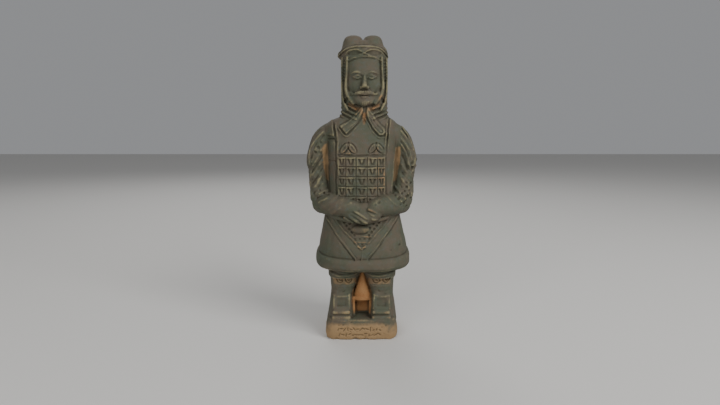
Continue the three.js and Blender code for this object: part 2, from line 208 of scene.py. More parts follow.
def signed_gap(outline: Sequence[Spot], x: Grid, z: Grid) -> Grid:
    """Distance to a closed outline, negative inside it."""
    closed = [*outline, outline[0]]
    away = line_gap(closed, x, z)
    within = np.zeros(away.shape, dtype=bool)
    for (ax, az), (bx, bz) in zip(closed[:-1], closed[1:]):
        if az != bz:
            within ^= ((az > z) != (bz > z)) & (x < (bx - ax) * (z - az) / (bz - az) + ax)
    return np.where(within, -away, away)


def spans(axes: Sequence[Grid], low: Point | Spot, high: Point | Spot, margin: float) -> Window:
    """Slices of rising axes that hold a box, with a margin."""
    parts = []
    for line, start, stop in zip(axes, low, high):
        ends = np.searchsorted(line, start - margin), np.searchsorted(line, stop + margin)
        parts.append(slice(int(ends[0]), int(ends[1])))
    return tuple(parts)


# ---------------------------------------------------------------- forms
@dataclass(frozen=True)
class Section:
    """One rounded-rectangle section of a loft, in millimetres."""

    z: float
    half: float
    front: float
    back: float
    x: float = 0.0
    y: float = 0.0


@dataclass(frozen=True)
class Loft:
    """A body drawn through level sections.

    Attributes:
        sections: The sections from the bottom up.
        power: 2 is an ellipse, 4 nearly a rectangle.
        edge: Rounding of the top and bottom edges.
        drop: Share of the distance from the middle by which the front hangs lower.
    """

    sections: tuple[Section, ...]
    power: float = 2.5
    edge: float = 1.0
    drop: float = 0.0

    def box(self) -> tuple[Point, Point]:
        """Corners of the box that holds the form."""
        low = (
            min(s.x - s.half for s in self.sections), min(s.y - s.front for s in self.sections),
            self.sections[0].z
        )
        high = (
            max(s.x + s.half for s in self.sections), max(s.y + s.back for s in self.sections),
            self.sections[-1].z
        )
        reach = self.drop * max(max(s.front, s.back) for s in self.sections)
        return (low[0], low[1], low[2] - reach), (high[0], high[1], high[2] + reach)

    def distance(self, x: Grid, y: Grid, z: Grid) -> Grid:
        """Signed distance, near enough at the surface.

        Args:
            x: Grid positions along X, shaped to broadcast.
            y: Grid positions along Y.
            z: Grid positions along Z.

        Returns:
            Negative inside, positive outside, in millimetres.
        """
        heights = [s.z for s in self.sections]
        level = z - self.drop * (y - self.sections[0].y) if self.drop else z

        def along(pick: Callable[[Section], float]) -> Grid:
            return through(heights, [pick(s) for s in self.sections], level)

        half, mid_x, mid_y = along(lambda s: s.half), along(lambda s: s.x), along(lambda s: s.y)
        reach = np.where(y < mid_y, along(lambda s: s.front), along(lambda s: s.back))
        across = np.abs(x - mid_x) / half
        deep = np.abs(y - mid_y) / reach
        power = self.power
        whole = across**power + deep**power + 1e-6
        ring = whole ** (1.0 / power)
        slope = np.sqrt((across ** (power - 1) / half) ** 2 + (deep ** (power - 1) / reach) ** 2 + 1e-8)
        side = (ring - 1.0) * whole / (ring * slope)
        side = np.maximum(side, -12.0)
        ends = np.maximum(heights[0] - level, level - heights[-1])
        return soft_max(side, ends + 0 * side, self.edge).astype(np.float32)


@dataclass(frozen=True)
class Joint:
    """A point on a limb's centre line with its half width and half depth there, in millimetres."""

    at: Point
    wide: float
    deep: float


@dataclass(frozen=True)
class Limb:
    """A rounded limb along a smooth centre line.

    Attributes:
        joints: The points along the line.
        side: The direction that `deep` is measured along, about.
        steps: Straight pieces between two joints.
        end: How far the rounded ends reach beyond the line.
    """

    joints: tuple[Joint, ...]
    side: Point = (0.0, 1.0, 0.0)
    steps: int = 4
    end: float = 2.0

    def line(self) -> tuple[Grid, Grid, Grid]:
        """Centre line, half widths and half depths, sampled."""
        points = [j.at for j in self.joints]
        centres = smooth_points(points, self.steps)
        places = np.arange(len(points))
        spots = np.linspace(0, len(points) - 1, len(centres))
        wide = through(places, [j.wide for j in self.joints], spots)
        deep = through(places, [j.deep for j in self.joints], spots)
        return centres, wide, deep

    def box(self) -> tuple[Point, Point]:
        """Corners of the box that holds the form."""
        centres, wide, deep = self.line()
        reach = float(max(wide.max(), deep.max()) + self.end)
        low, high = centres.min(axis=0) - reach, centres.max(axis=0) + reach
        return tuple(low), tuple(high)

    def distance(self, x: Grid, y: Grid, z: Grid) -> Grid:
        """Signed distance of the limb on the grid, in millimetres."""
        centres, wide, deep = self.line()
        result = None
        last = len(centres) - 2
        for i in range(last + 1):
            run = centres[i + 1] - centres[i]
            length = float(np.linalg.norm(run))
            ahead = run / length
            across = np.cross(self.side, ahead)
            across /= np.linalg.norm(across)
            depth = np.cross(ahead, across)
            px, py, pz = x - centres[i][0], y - centres[i][1], z - centres[i][2]
            along = px * ahead[0] + py * ahead[1] + pz * ahead[2]
            a = px * across[0] + py * across[1] + pz * across[2]
            b = px * depth[0] + py * depth[1] + pz * depth[2]
            share = np.clip(along / length, 0.0, 1.0)
            over = along - share * length
            w = wide[i] + (wide[i + 1] - wide[i]) * share
            d = deep[i] + (deep[i + 1] - deep[i]) * share
            small = np.minimum(w, d)
            first, final = i == 0, i == last
            cap = np.where(along < 0, self.end if first else small, self.end if final else small)
            ua, ub, uc = a / w, b / d, over / cap
            ring = np.sqrt(ua * ua + ub * ub + uc * uc + 1e-9)
            slope = np.sqrt((ua / w) ** 2 + (ub / d) ** 2 + (uc / cap) ** 2 + 1e-12) / ring
            piece = np.maximum((ring - 1.0) / slope, -small)
            result = piece if result is None else np.minimum(result, piece)
        return result.astype(np.float32)


@dataclass(frozen=True)
class Ball:
    """An ellipsoid."""

    at: Point
    radii: Point

    def box(self) -> tuple[Point, Point]:
        """Corners of the box that holds the form."""
        low = tuple(c - r for c, r in zip(self.at, self.radii))
        high = tuple(c + r for c, r in zip(self.at, self.radii))
        return low, high

    def distance(self, x: Grid, y: Grid, z: Grid) -> Grid:
        """Signed distance of the ellipsoid on the grid, in millimetres."""
        u, v, w = ((g - c) / r for g, c, r in zip((x, y, z), self.at, self.radii))
        ring = np.sqrt(u * u + v * v + w * w + 1e-9)
        rx, ry, rz = self.radii
        slope = np.sqrt((u / rx) ** 2 + (v / ry) ** 2 + (w / rz) ** 2 + 1e-12) / ring
        return np.maximum((ring - 1.0) / slope, -min(self.radii)).astype(np.float32)


@dataclass(frozen=True)
class Slab:
    """A box with rounded edges.

    Attributes:
        low: The box's low corner.
        high: The box's high corner.
        round: Radius of its edges.
    """

    low: Point
    high: Point
    round: float = 0.5

    def box(self) -> tuple[Point, Point]:
        """Corners of the box that holds the form."""
        return self.low, self.high

    def distance(self, x: Grid, y: Grid, z: Grid) -> Grid:
        """Signed distance of the rounded box on the grid, in millimetres."""
        corners = zip((x, y, z), self.low, self.high)
        gaps = [np.abs(g - (a + b) / 2) - ((b - a) / 2 - self.round) for g, a, b in corners]
        outside = np.sqrt(sum(np.maximum(g, 0.0) ** 2 for g in gaps))
        inside = np.minimum(np.maximum(np.maximum(gaps[0], gaps[1]), gaps[2]), 0.0)
        return (outside + inside - self.round).astype(np.float32)


def loft(*rows: tuple[float, ...], **shape: float) -> Loft:
    """A loft from rows of its sections' numbers, from the bottom up."""
    return Loft(tuple(Section(*row) for row in rows), **shape)


def limb(*rows: tuple[float, ...], middle: float = 0, mirror: int = 1, **shape: object) -> Limb:
    """A limb from rows of its joints' X, counted from a middle, Y, Z, half width and half depth."""
    return Limb(tuple(Joint((middle + mirror * x, y, z), *sizes) for x, y, z, *sizes in rows), **shape)


# ---------------------------------------------------------------- the block of clay
class ClayBlock:
    """The grid of signed distances that the whole figure is modelled in."""

    def __init__(self, low: Point, high: Point, step: Point) -> None:
        """Lay out an empty block.

        Args:
            low: Low corner in millimetres.
            high: High corner.
            step: Grid spacing along each axis.
        """
        self.step = step
        self.axes = [np.arange(a, b + s, s, dtype=np.float32) for a, b, s in zip(low, high, step)]
        self.clay = np.full(tuple(len(a) for a in self.axes), FAR, dtype=np.float32)

    def read(self, grid: Grid, points: Grid) -> Grid:
        """Trilinear reading of a grid of this block's shape.

        Args:
            grid: The values on the grid.
            points: Positions in millimetres, one per row.

        Returns:
            One value for each position.
        """
        cells, shares = [], []
        for column, (axis, step) in enumerate(zip(self.axes, self.step)):
            place = np.clip((points[:, column] - axis[0]) / step, 0, len(axis) - 1.001)
            cell = place.astype(np.int64)
            cells.append(cell)
            shares.append((place - cell).astype(np.float32))
        result = np.zeros(len(points), dtype=np.float32)
        for corner in CORNERS:
            weights = [share if ahead else 1 - share for share, ahead in zip(shares, corner)]
            result += math.prod(weights) * grid[tuple(cell + ahead for cell, ahead in zip(cells, corner))]
        return result


class Board:
    """Relief for one face of a layer, in millimetres; its lines wander a little, as if cut by hand."""

    def __init__(self, x: Grid, z: Grid) -> None:
        """Start a flat board over the given columns."""
        self.x = x.reshape(-1, 1).astype(np.float32)
        self.z = z.reshape(1, -1).astype(np.float32)
        self.height = np.zeros((self.x.size, self.z.size), dtype=np.float32)
        x, z = self.x, self.z
        self.across = x + 0.2 * np.sin(0.34 * z + 0.2 * x + 0.4) + 0.07 * np.sin(1.1 * z - 0.5 * x + 2.0)
        self.up = z + 0.2 * np.sin(0.3 * x - 0.2 * z + 1.3) + 0.07 * np.sin(1.0 * x + 0.6 * z + 0.7)
        self.force = 0.92 + 0.2 * np.sin(0.45 * x + 0.6 * z + 0.9) + 0.14 * np.sin(1.1 * x - 0.8 * z + 2.2)

    def part(self, points: Sequence[Spot], margin: float) -> Window:
        """Slices of the board that hold some points, with a margin."""
        xs, zs = zip(*points)
        return spans((self.x[:, 0], self.z[0]), (min(xs), min(zs)), (max(xs), max(zs)), margin)

    def stroke(self, points: Sequence[Spot], width: float, height: float) -> None:
        """Add a rounded ridge along a line, or a groove.

        Args:
            points: The line's corners in X and Z.
            width: Half width at the foot.
            height: Height at the middle, negative for a groove.
        """
        part = self.part(points, width + 0.5)
        away = np.clip(line_gap(points, self.across[part], self.up[part]) / width, 0.0, 1.0)
        self.height[part] += height * self.force[part] * (0.5 + 0.5 * np.cos(np.pi * away))

    def curve(self, points: Sequence[Spot], width: float, height: float, steps: int = 6) -> None:
        """Add a ridge or groove along a smooth curve through points."""
        self.stroke(smooth_line(points, steps), width, height)

    def lines(self, *rows: tuple[object, ...], x: float = 0, side: int = 1) -> None:
        """Add smooth ridges and grooves: each row is a half width, a height and points counted from X."""
        for width, height, *points in rows:
            self.curve([(x + side * across, z) for across, z in points], width, height)

    def beside(self, line: Sequence[Spot], *rows: tuple[float, ...], smooth: bool = False) -> None:
        """Add ridges and grooves along a line: each row is a shift in X and Z, a half width and a height."""
        for shift_x, shift_z, width, height in rows:
            shifted = [(x + shift_x, z + shift_z) for x, z in line]
            self.stroke(smooth_line(shifted) if smooth else shifted, width, height)

    def inside(self, outline: Sequence[Spot], part: Window) -> Grid:
        """Signed distance to a closed outline, over part of the board."""
        return signed_gap(outline, self.across[part], self.up[part])

    def plate(self, outline: Sequence[Spot], height: float, edge: float = 0.5) -> None:
        """Raise or sink a flat patch with soft edges.

        Args:
            outline: The patch's corners in X and Z.
            height: Its height above the surface.
            edge: Width of the slope at its edge.
        """
        part = self.part(outline, edge + 0.5)
        self.height[part] += height * ease(0.5 - self.inside(outline, part) / edge)

    def oval(self, at: Spot, radii: Spot, height: float, turn: float = 0.0, flat: bool = False) -> None:
        """Raise or sink an oval.

        Args:
            at: Its centre.
            radii: Its half sizes before it is turned.
            height: Height at its centre.
            turn: Turn in degrees.
            flat: Whether its top is flat rather than domed.
        """
        reach = max(radii) + 0.6
        part = self.part(((at[0] - reach, at[1] - reach), (at[0] + reach, at[1] + reach)), 0.2)
        c, s = math.cos(math.radians(turn)), math.sin(math.radians(turn))
        px, pz = self.x[part[0]] - at[0], self.z[:, part[1]] - at[1]
        ring = np.hypot((px * c + pz * s) / radii[0], (pz * c - px * s) / radii[1])
        dome = ease((1.15 - ring) / 0.35) if flat else np.sqrt(np.clip(1.0 - ring * ring, 0.0, 1.0))
        self.height[part] += height * dome

    def stamp(self, mesh: Mesh) -> None:
        """Press a die's mesh into the board: its height is how far it stands out along -Y."""
        corners = [v.co for v in mesh.vertices]
        tree = BVHTree.FromPolygons(corners, [p.vertices for p in mesh.polygons])
        part = self.part([(v.x, v.z) for v in corners], 0.5)
        ahead = Vector((0.0, 1.0, 0.0))
        for i in range(part[0].start, part[0].stop):
            for k in range(part[1].start, part[1].stop):
                start = Vector((float(self.x[i, 0]), RAY_START, float(self.z[0, k])))
                hit = tree.ray_cast(start, ahead, RAY_LENGTH)
                if hit[0] is not None:
                    self.height[i, k] += max(-hit[0].y, 0.0)


class Layer:
    """A part of the figure in its own window of the block, shaped before it is pressed onto the rest."""

    def __init__(self, block: ClayBlock, low: Point, high: Point) -> None:
        """Open an empty layer over a box."""
        self.block = block
        self.window = spans(block.axes, low, high, 0.0)
        x, y, z = (axis[part] for axis, part in zip(block.axes, self.window))
        self.x, self.y, self.z = x[:, None, None], y[None, :, None], z[None, None, :]
        self.clay = np.full((self.x.size, self.y.size, self.z.size), FAR, dtype=np.float32)

    def near(self, form: object) -> tuple[Window, Grid]:
        """Slices of the layer near a form, and the form's distances there."""
        part = spans((self.x.ravel(), self.y.ravel(), self.z.ravel()), *form.box(), MARGIN)
        return part, form.distance(self.x[part[0]], self.y[:, part[1]], self.z[:, :, part[2]])

    def add(self, form: object, blend: float = 0.8) -> None:
        """Join a form to the layer with a fillet."""
        part, away = self.near(form)
        self.clay[part] = soft_min(self.clay[part], away, blend)

    def cut(self, form: object, blend: float = 0.5) -> None:
        """Cut a form out of the layer with a rounded edge."""
        part, away = self.near(form)
        self.clay[part] = soft_max(self.clay[part], -away, blend)

    def board(self) -> Board:
        """A flat relief board over the layer's columns."""
        return Board(self.x, self.z)

    def emboss(self, front: Board, back: Board, seam: float = 0.0, soft: float = 4.0) -> None:
        """Press relief into the layer's front and back.

        Args:
            front: Relief of the side towards -Y.
            back: Relief of the side towards +Y.
            seam: The Y at which the two meet.
            soft: Width over which one gives way to the other.
        """
        share = ease(0.5 + (seam - self.y) / soft)
        self.clay -= share * front.height[:, None, :] + (1 - share) * back.height[:, None, :]

    def press(self, blend: float = 0.8) -> None:
        """Press the layer onto the block with a fillet."""
        self.block.clay[self.window] = soft_min(self.block.clay[self.window], self.clay, blend)


def unevenness(block: ClayBlock, size: float, seed: int) -> Grid:
    """Smooth random values on the block's grid, about -1 to 1.

    Args:
        block: The block to match.
        size: Size of one lump in millimetres.
        seed: Seed of the random values.

    Returns:
        One value for each grid point.
    """
    rng = np.random.default_rng(seed)
    grids = []
    for axis in block.axes:
        place = (axis - axis[0]) / size
        count = int(place[-1]) + 3
        cell = place.astype(np.int64)
        share = ease(place - cell)
        weights = np.zeros((len(axis), count), dtype=np.float32)
        rows = np.arange(len(axis))
        weights[rows, cell] = 1 - share
        weights[rows, cell + 1] = share
        grids.append(weights)
    noise = rng.uniform(-1, 1, [g.shape[1] for g in grids]).astype(np.float32)
    noise = np.tensordot(grids[0], noise, axes=(1, 0))
    noise = np.tensordot(noise, grids[1], axes=(1, 1))
    return np.tensordot(noise, grids[2], axes=(1, 1))


# ---------------------------------------------------------------- objects
def placed(name: str, data: bpy.types.ID) -> bpy.types.Object:
    """A new object in the scene."""
    holder = bpy.data.objects.new(name, data)
    bpy.context.scene.collection.objects.link(holder)
    return holder


def modified(mesh: Mesh, kind: str, prepare: Callable[[bpy.types.Modifier], None]) -> Mesh:
    """What a modifier makes of a mesh, which is removed.

    Args:
        mesh: The mesh to start from.
        kind: The modifier's type.
        prepare: Sets the modifier up.

    Returns:
        The result as a plain mesh.
    """
    holder = placed(mesh.name, mesh)
    modifier = holder.modifiers.new("shape", kind)
    prepare(modifier)
    evaluated = holder.evaluated_get(bpy.context.evaluated_depsgraph_get())
    result = bpy.data.meshes.new_from_object(evaluated)
    holder.modifiers.remove(modifier)
    bpy.data.objects.remove(holder)
    bpy.data.meshes.remove(mesh)
    return result


# ---------------------------------------------------------------- dies cut with Geometry Nodes
class Graph:
    """A node tree under construction."""

    def __init__(self, tree: bpy.types.NodeTree) -> None:
        """Work on a tree."""
        self.tree = tree

    def node(self, kind: str, inputs: dict[str | int, object] | None = None, **settings: object) -> Node:
        """Add a node.

        Args:
            kind: The node's type.
            inputs: Values, sockets or nodes for its inputs, by name or place.
            settings: The node's own settings.

        Returns:
            The new node.
        """
        node = self.tree.nodes.new(kind)
        for key, value in settings.items():
            setattr(node, key, value)
        for key, value in (inputs or {}).items():
            if isinstance(value, Node):
                value = value.outputs[0]
            if isinstance(value, Socket):
                self.tree.links.new(value, node.inputs[key])
            else:
                node.inputs[key].default_value = value
        return node

    def sum(self, operation: str, first: object, second: object = 0.0, clamp: bool = False) -> Socket:
        """One step of arithmetic."""
        steps = {0: first, 1: second}
        return self.node("ShaderNodeMath", steps, operation=operation, use_clamp=clamp).outputs[0]

    add = partialmethod(sum, "ADD")
    less = partialmethod(sum, "SUBTRACT")
    times = partialmethod(sum, "MULTIPLY")
    over = partialmethod(sum, "DIVIDE")

    def vector(self, x: object = 0.0, y: object = 0.0, z: object = 0.0) -> Node:
        """Three numbers as one vector."""
        return self.node("ShaderNodeCombineXYZ", {0: x, 1: y, 2: z})

    def ramp(
        self, value: object, low: float, high: float, kind: str = "SMOOTHSTEP", ends: Spot = (0.0, 1.0)
    ) -> Socket:
        """A value's range from low to high, stretched between two ends."""
        limits = {"Value": value, "From Min": low, "From Max": high, "To Min": ends[0], "To Max": ends[1]}
        return self.node("ShaderNodeMapRange", limits, interpolation_type=kind).outputs["Result"]


class DieTree(Graph):
    """A Geometry Nodes tree that makes a die, with its sizes as named inputs."""

    def __init__(self, name: str, sizes: dict[str, float | int]) -> None:
        """Start the tree.

        Args:
            name: Name of the tree.
            sizes: Its inputs with their usual values.
        """
        super().__init__(bpy.data.node_groups.new(name, "GeometryNodeTree"))
        self.tree.interface.new_socket("Geometry", in_out="OUTPUT", socket_type="NodeSocketGeometry")
        for key, value in sizes.items():
            kind = "NodeSocketInt" if isinstance(value, int) else "NodeSocketFloat"
            socket = self.tree.interface.new_socket(key, in_out="INPUT", socket_type=kind)
            socket.default_value = value
        self.given = self.tree.nodes.new("NodeGroupInput").outputs

    def finish(self, geometry: Node, material: bpy.types.Material) -> None:
        """Realise the instances, give them their material and end the tree."""
        real = self.node("GeometryNodeRealizeInstances", {0: geometry})
        dressed = self.node("GeometryNodeSetMaterial", {"Geometry": real, "Material": material})
        out = self.tree.nodes.new("NodeGroupOutput")
        self.tree.links.new(dressed.outputs[0], out.inputs[0])

    def cast(self, values: dict[str, float | int]) -> Mesh:
        """Run the tree and return its result as a plain mesh.

        Args:
            values: Inputs that differ from their usual values.

        Returns:
            The die, in millimetres.
        """

        def prepare(modifier: bpy.types.Modifier) -> None:
            modifier.node_group = self.tree
            for item in self.tree.interface.items_tree:
                if item.in_out == "INPUT" and item.name in values:
                    modifier[item.identifier] = values[item.name]

        return modified(bpy.data.meshes.new(self.tree.name), "NODES", prepare)


class PlateDie(DieTree):
    """Die for rows of laced armour plates that narrow towards the sides, as on a rounded chest."""

    def __init__(self, material: bpy.types.Material) -> None:
        """Build the tree."""
        sizes = {"Columns": 5, "Rows": 5, "Half Width": 15.0, "Row Pitch": 6.35, "Top": 121.6, "Rise": 1.0}
        super().__init__("plate_die", {**sizes, "Tongue": 0.15, "Slack": 0.12, "Seed": 3})
        given, node = self.given, self.node
        add, less, times, over = self.add, self.less, self.times, self.over
        counts = {"Vertices X": add(given["Columns"], 1.0), "Vertices Y": given["Rows"]}
        grid = node("GeometryNodeMeshGrid", {"Size X": 2.0, "Size Y": 1.0, **counts})
        place = node("ShaderNodeSeparateXYZ", {0: node("GeometryNodeInputPosition")})
        step = over(2.0, given["Columns"])
        middle = add(place.outputs[0], times(step, 0.5))
        kept = node("GeometryNodeStoreNamedAttribute", {"Geometry": grid, "Name": "middle", "Value": middle})
        middle = node("GeometryNodeInputNamedAttribute", {"Name": "middle"}).outputs[0]
        across = times(over(self.sum("SINE", middle), math.sin(1.0)), given["Half Width"])
        down = times(less(0.5, place.outputs[1]), less(given["Rows"], 1.0))
        drop = times(add(down, 0.5), given["Row Pitch"])
        spot = self.vector(across, 0.0, less(given["Top"], drop))
        moved = node("GeometryNodeSetPosition", {"Geometry": kept, "Position": spot})
        share = times(self.sum("COSINE", middle), step)
        width = times(over(share, math.sin(1.0)), given["Half Width"])
        wobble = node("FunctionNodeRandomValue", {"Seed": given["Seed"]}, data_type="FLOAT_VECTOR")
        centred = node("ShaderNodeVectorMath", {0: wobble, 1: (0.5, 0.5, 0.5)}, operation="SUBTRACT")
        turn = node("ShaderNodeVectorMath", {0: centred, "Scale": given["Slack"]}, operation="SCALE")
        shape = {"Instance": self.plate(), "Rotation": turn, "Scale": self.vector(width, 1.0, 1.0)}
        chosen = {"Points": moved, "Selection": self.sum("LESS_THAN", middle, 1.0)}
        self.finish(node("GeometryNodeInstanceOnPoints", {**chosen, **shape}), material)

    def plate(self) -> Node:
        """One plate, a unit wide: a slab with a lip, side bars and a tongue between two slanting slits."""
        given, add, less, times, fade = self.given, self.add, self.less, self.times, self.ramp
        grid = self.node(
            "GeometryNodeMeshGrid", {"Size X": 1.0, "Size Y": 1.0, "Vertices X": 29, "Vertices Y": 29}
        )
        place = self.node("ShaderNodeSeparateXYZ", {0: self.node("GeometryNodeInputPosition")})
        out, up = self.sum("ABSOLUTE", place.outputs[0]), place.outputs[1]
        edge = fade(self.sum("MAXIMUM", out, self.sum("ABSOLUTE", up)), 0.5, 0.44)
        line = add(times(up, 0.26), given["Tongue"])
        beside = self.sum("ABSOLUTE", less(out, line))
        slit = times(fade(beside, 0.1, 0.045), times(fade(up, -0.4, -0.28), fade(up, 0.33, 0.26)))
        tongue = times(fade(less(out, line), 0.02, -0.06), fade(up, -0.3, 0.1))
        height = add(0.5, times(fade(up, 0.27, 0.36), 0.42))
        height = add(height, times(fade(out, 0.3, 0.38), 0.24))
        height = less(add(height, times(tongue, 0.3)), times(slit, 0.8))
        front = times(times(height, edge), times(given["Rise"], -1.0))
        spot = self.vector(place, front, times(up, less(given["Row Pitch"], 0.2)))
        return self.node("GeometryNodeSetPosition", {"Geometry": grid, "Position": spot})


class MarkDie(DieTree):
    """Die for a row of small rounded marks along a line: dashes of cord, scales, strands or strokes."""

    def __init__(self, material: bpy.types.Material) -> None:
        """Build the tree."""
        sizes = {"Count": 8, "From X": 0.0, "From Z": 0.0, "To X": 1.0, "To Z": 1.0}
        sizes |= {"Half Length": 1.0, "Half Width": 0.4, "Rise": 0.4, "Turn": 0.0}
        super().__init__("mark_die", {**sizes, "Turn Slack": 0.0, "Size Slack": 0.0, "Shift": 0.0, "Seed": 1})
        given, node, add, times = self.given, self.node, self.add, self.times
        start = self.vector(given["From X"], 0.0, given["From Z"])
        end = self.vector(given["To X"], 0.0, given["To Z"])
        line = node("GeometryNodeCurvePrimitiveLine", {"Start": start, "End": end})
        points = node("GeometryNodeCurveToPoints", {"Curve": line, "Count": given["Count"]}, mode="COUNT")

        def random(shift: float) -> Socket:
            limits = {2: -1.0, 3: 1.0, "Seed": add(given["Seed"], shift)}
            return node("FunctionNodeRandomValue", limits, data_type="FLOAT").outputs[1]

        sway, lean, vary = random(0.0), random(7.0), random(19.0)
        offset = self.vector(z=times(sway, given["Shift"]))
        moved = node("GeometryNodeSetPosition", {"Geometry": points, "Offset": offset})
        swing = add(given["Turn"], times(lean, given["Turn Slack"]))
        spin = self.vector(y=times(swing, math.pi / 180))
        swell = add(1.0, times(vary, given["Size Slack"]))
        bead = node("GeometryNodeMeshIcoSphere", {"Radius": 1.0, "Subdivisions": 3})
        size = self.vector(times(given["Half Length"], swell), given["Rise"], given["Half Width"])
        shape = {"Points": moved, "Instance": bead, "Rotation": spin, "Scale": size}
        self.finish(node("GeometryNodeInstanceOnPoints", shape), material)

    def row(self, board: Board, start: Spot, end: Spot, **sizes: float | int) -> None:
        """Press a row of hollow marks into a board.

        Args:
            board: The board to press them into.
            start: Where the row starts, in X and Z.
            end: Where it ends.
            sizes: Inputs of the tree, with spaces written as underscores.
        """
        values = {key.replace("_", " ").title(): value for key, value in sizes.items()}
        values |= {"From X": start[0], "From Z": start[1], "To X": end[0], "To Z": end[1]}
        mesh = self.cast(
            {key: value if key in ("Count", "Seed") else float(value) for key, value in values.items()}
        )
        before = board.height.copy()
        board.stamp(mesh)
        board.height = 2 * before - board.height
        bpy.data.meshes.remove(mesh)


@dataclass
class Dies:
    """The dies that the sub-assemblies share."""

    plates: PlateDie
    marks: MarkDie


# ---------------------------------------------------------------- base and legs
@dataclass
class Base:
    """The low block under the feet, with rows of shallow strokes across its front.

    Attributes:
        half: Half width at the foot.
        deep: Half depth at the foot.
        top: Height of the top face.
        strokes_z: Heights of the rows of shallow strokes.
    """

    half: float = 24.4
    deep: float = 22.4
    top: float = BASE_TOP
    strokes_z: tuple[float, ...] = (7.2, 3.6)

    def build(self, block: ClayBlock, dies: Dies, lumps: Grid) -> None:
        """Shape the base and press it into the block."""
        layer = Layer(block, (-28, -26, -2), (28, 26, 20))
        shape = loft(
            (0, self.half - 0.4, self.deep - 0.4, self.deep),
            (0.3 * self.top, self.half + 0.1, self.deep + 0.1, self.deep),
            (self.top - 1.4, self.half - 1.4, self.deep - 0.8, self.deep - 1),
            (self.top, self.half - 2, self.deep - 1.5, self.deep - 1.7), power=7.0, edge=1.2,
        )
        layer.add(shape, 0)
        layer.clay += 0.28 * lumps[layer.window]
        front, back = layer.board(), layer.board()
        for number, height in enumerate(self.strokes_z):
            dies.marks.row(
                front, (-15.6 + 0.9 * number, height), (12.2 - 0.7 * number, height + 0.2),
                count=14 - number, half_length=1.8, half_width=0.5, rise=0.6, turn=72, turn_slack=88,
                size_slack=0.45, shift=0.6, seed=5 + number
            )
        front.curve([(-22, 9.4), (-12, 10.6), (2, 9.8), (14, 11), (21, 10.2)], 0.7, -0.16)
        front.stroke([(-23, self.top - 0.9), (23, self.top - 0.9)], 0.9, 0.25)
        rng = np.random.default_rng(41)
        for board in (front, back):
            for _ in range(26):
                spot = (rng.uniform(-23, 23), rng.uniform(1.2, 12.6))
                radius = rng.uniform(0.35, 0.9)
                board.oval(
                    spot, (radius, radius * rng.uniform(0.5, 1)), -rng.uniform(0.15, 0.4),
                    rng.uniform(0, 180)
                )
        layer.emboss(front, back)
        for _ in range(22):
            side = rng.integers(0, 4)
            along = rng.uniform(-1, 1)
            x = along * self.half if side < 2 else (self.half + 0.2) * (1 if side == 2 else -1)
            y = (-(self.deep + 0.2) if side == 0 else self.deep + 0.2) if side < 2 else along * self.deep
            radius = rng.uniform(0.6, 1.7)
            layer.cut(Ball((x, y, rng.uniform(-0.4, 0.4)), (radius * 1.5, radius * 1.3, radius)), 0.5)
        layer.press(0)


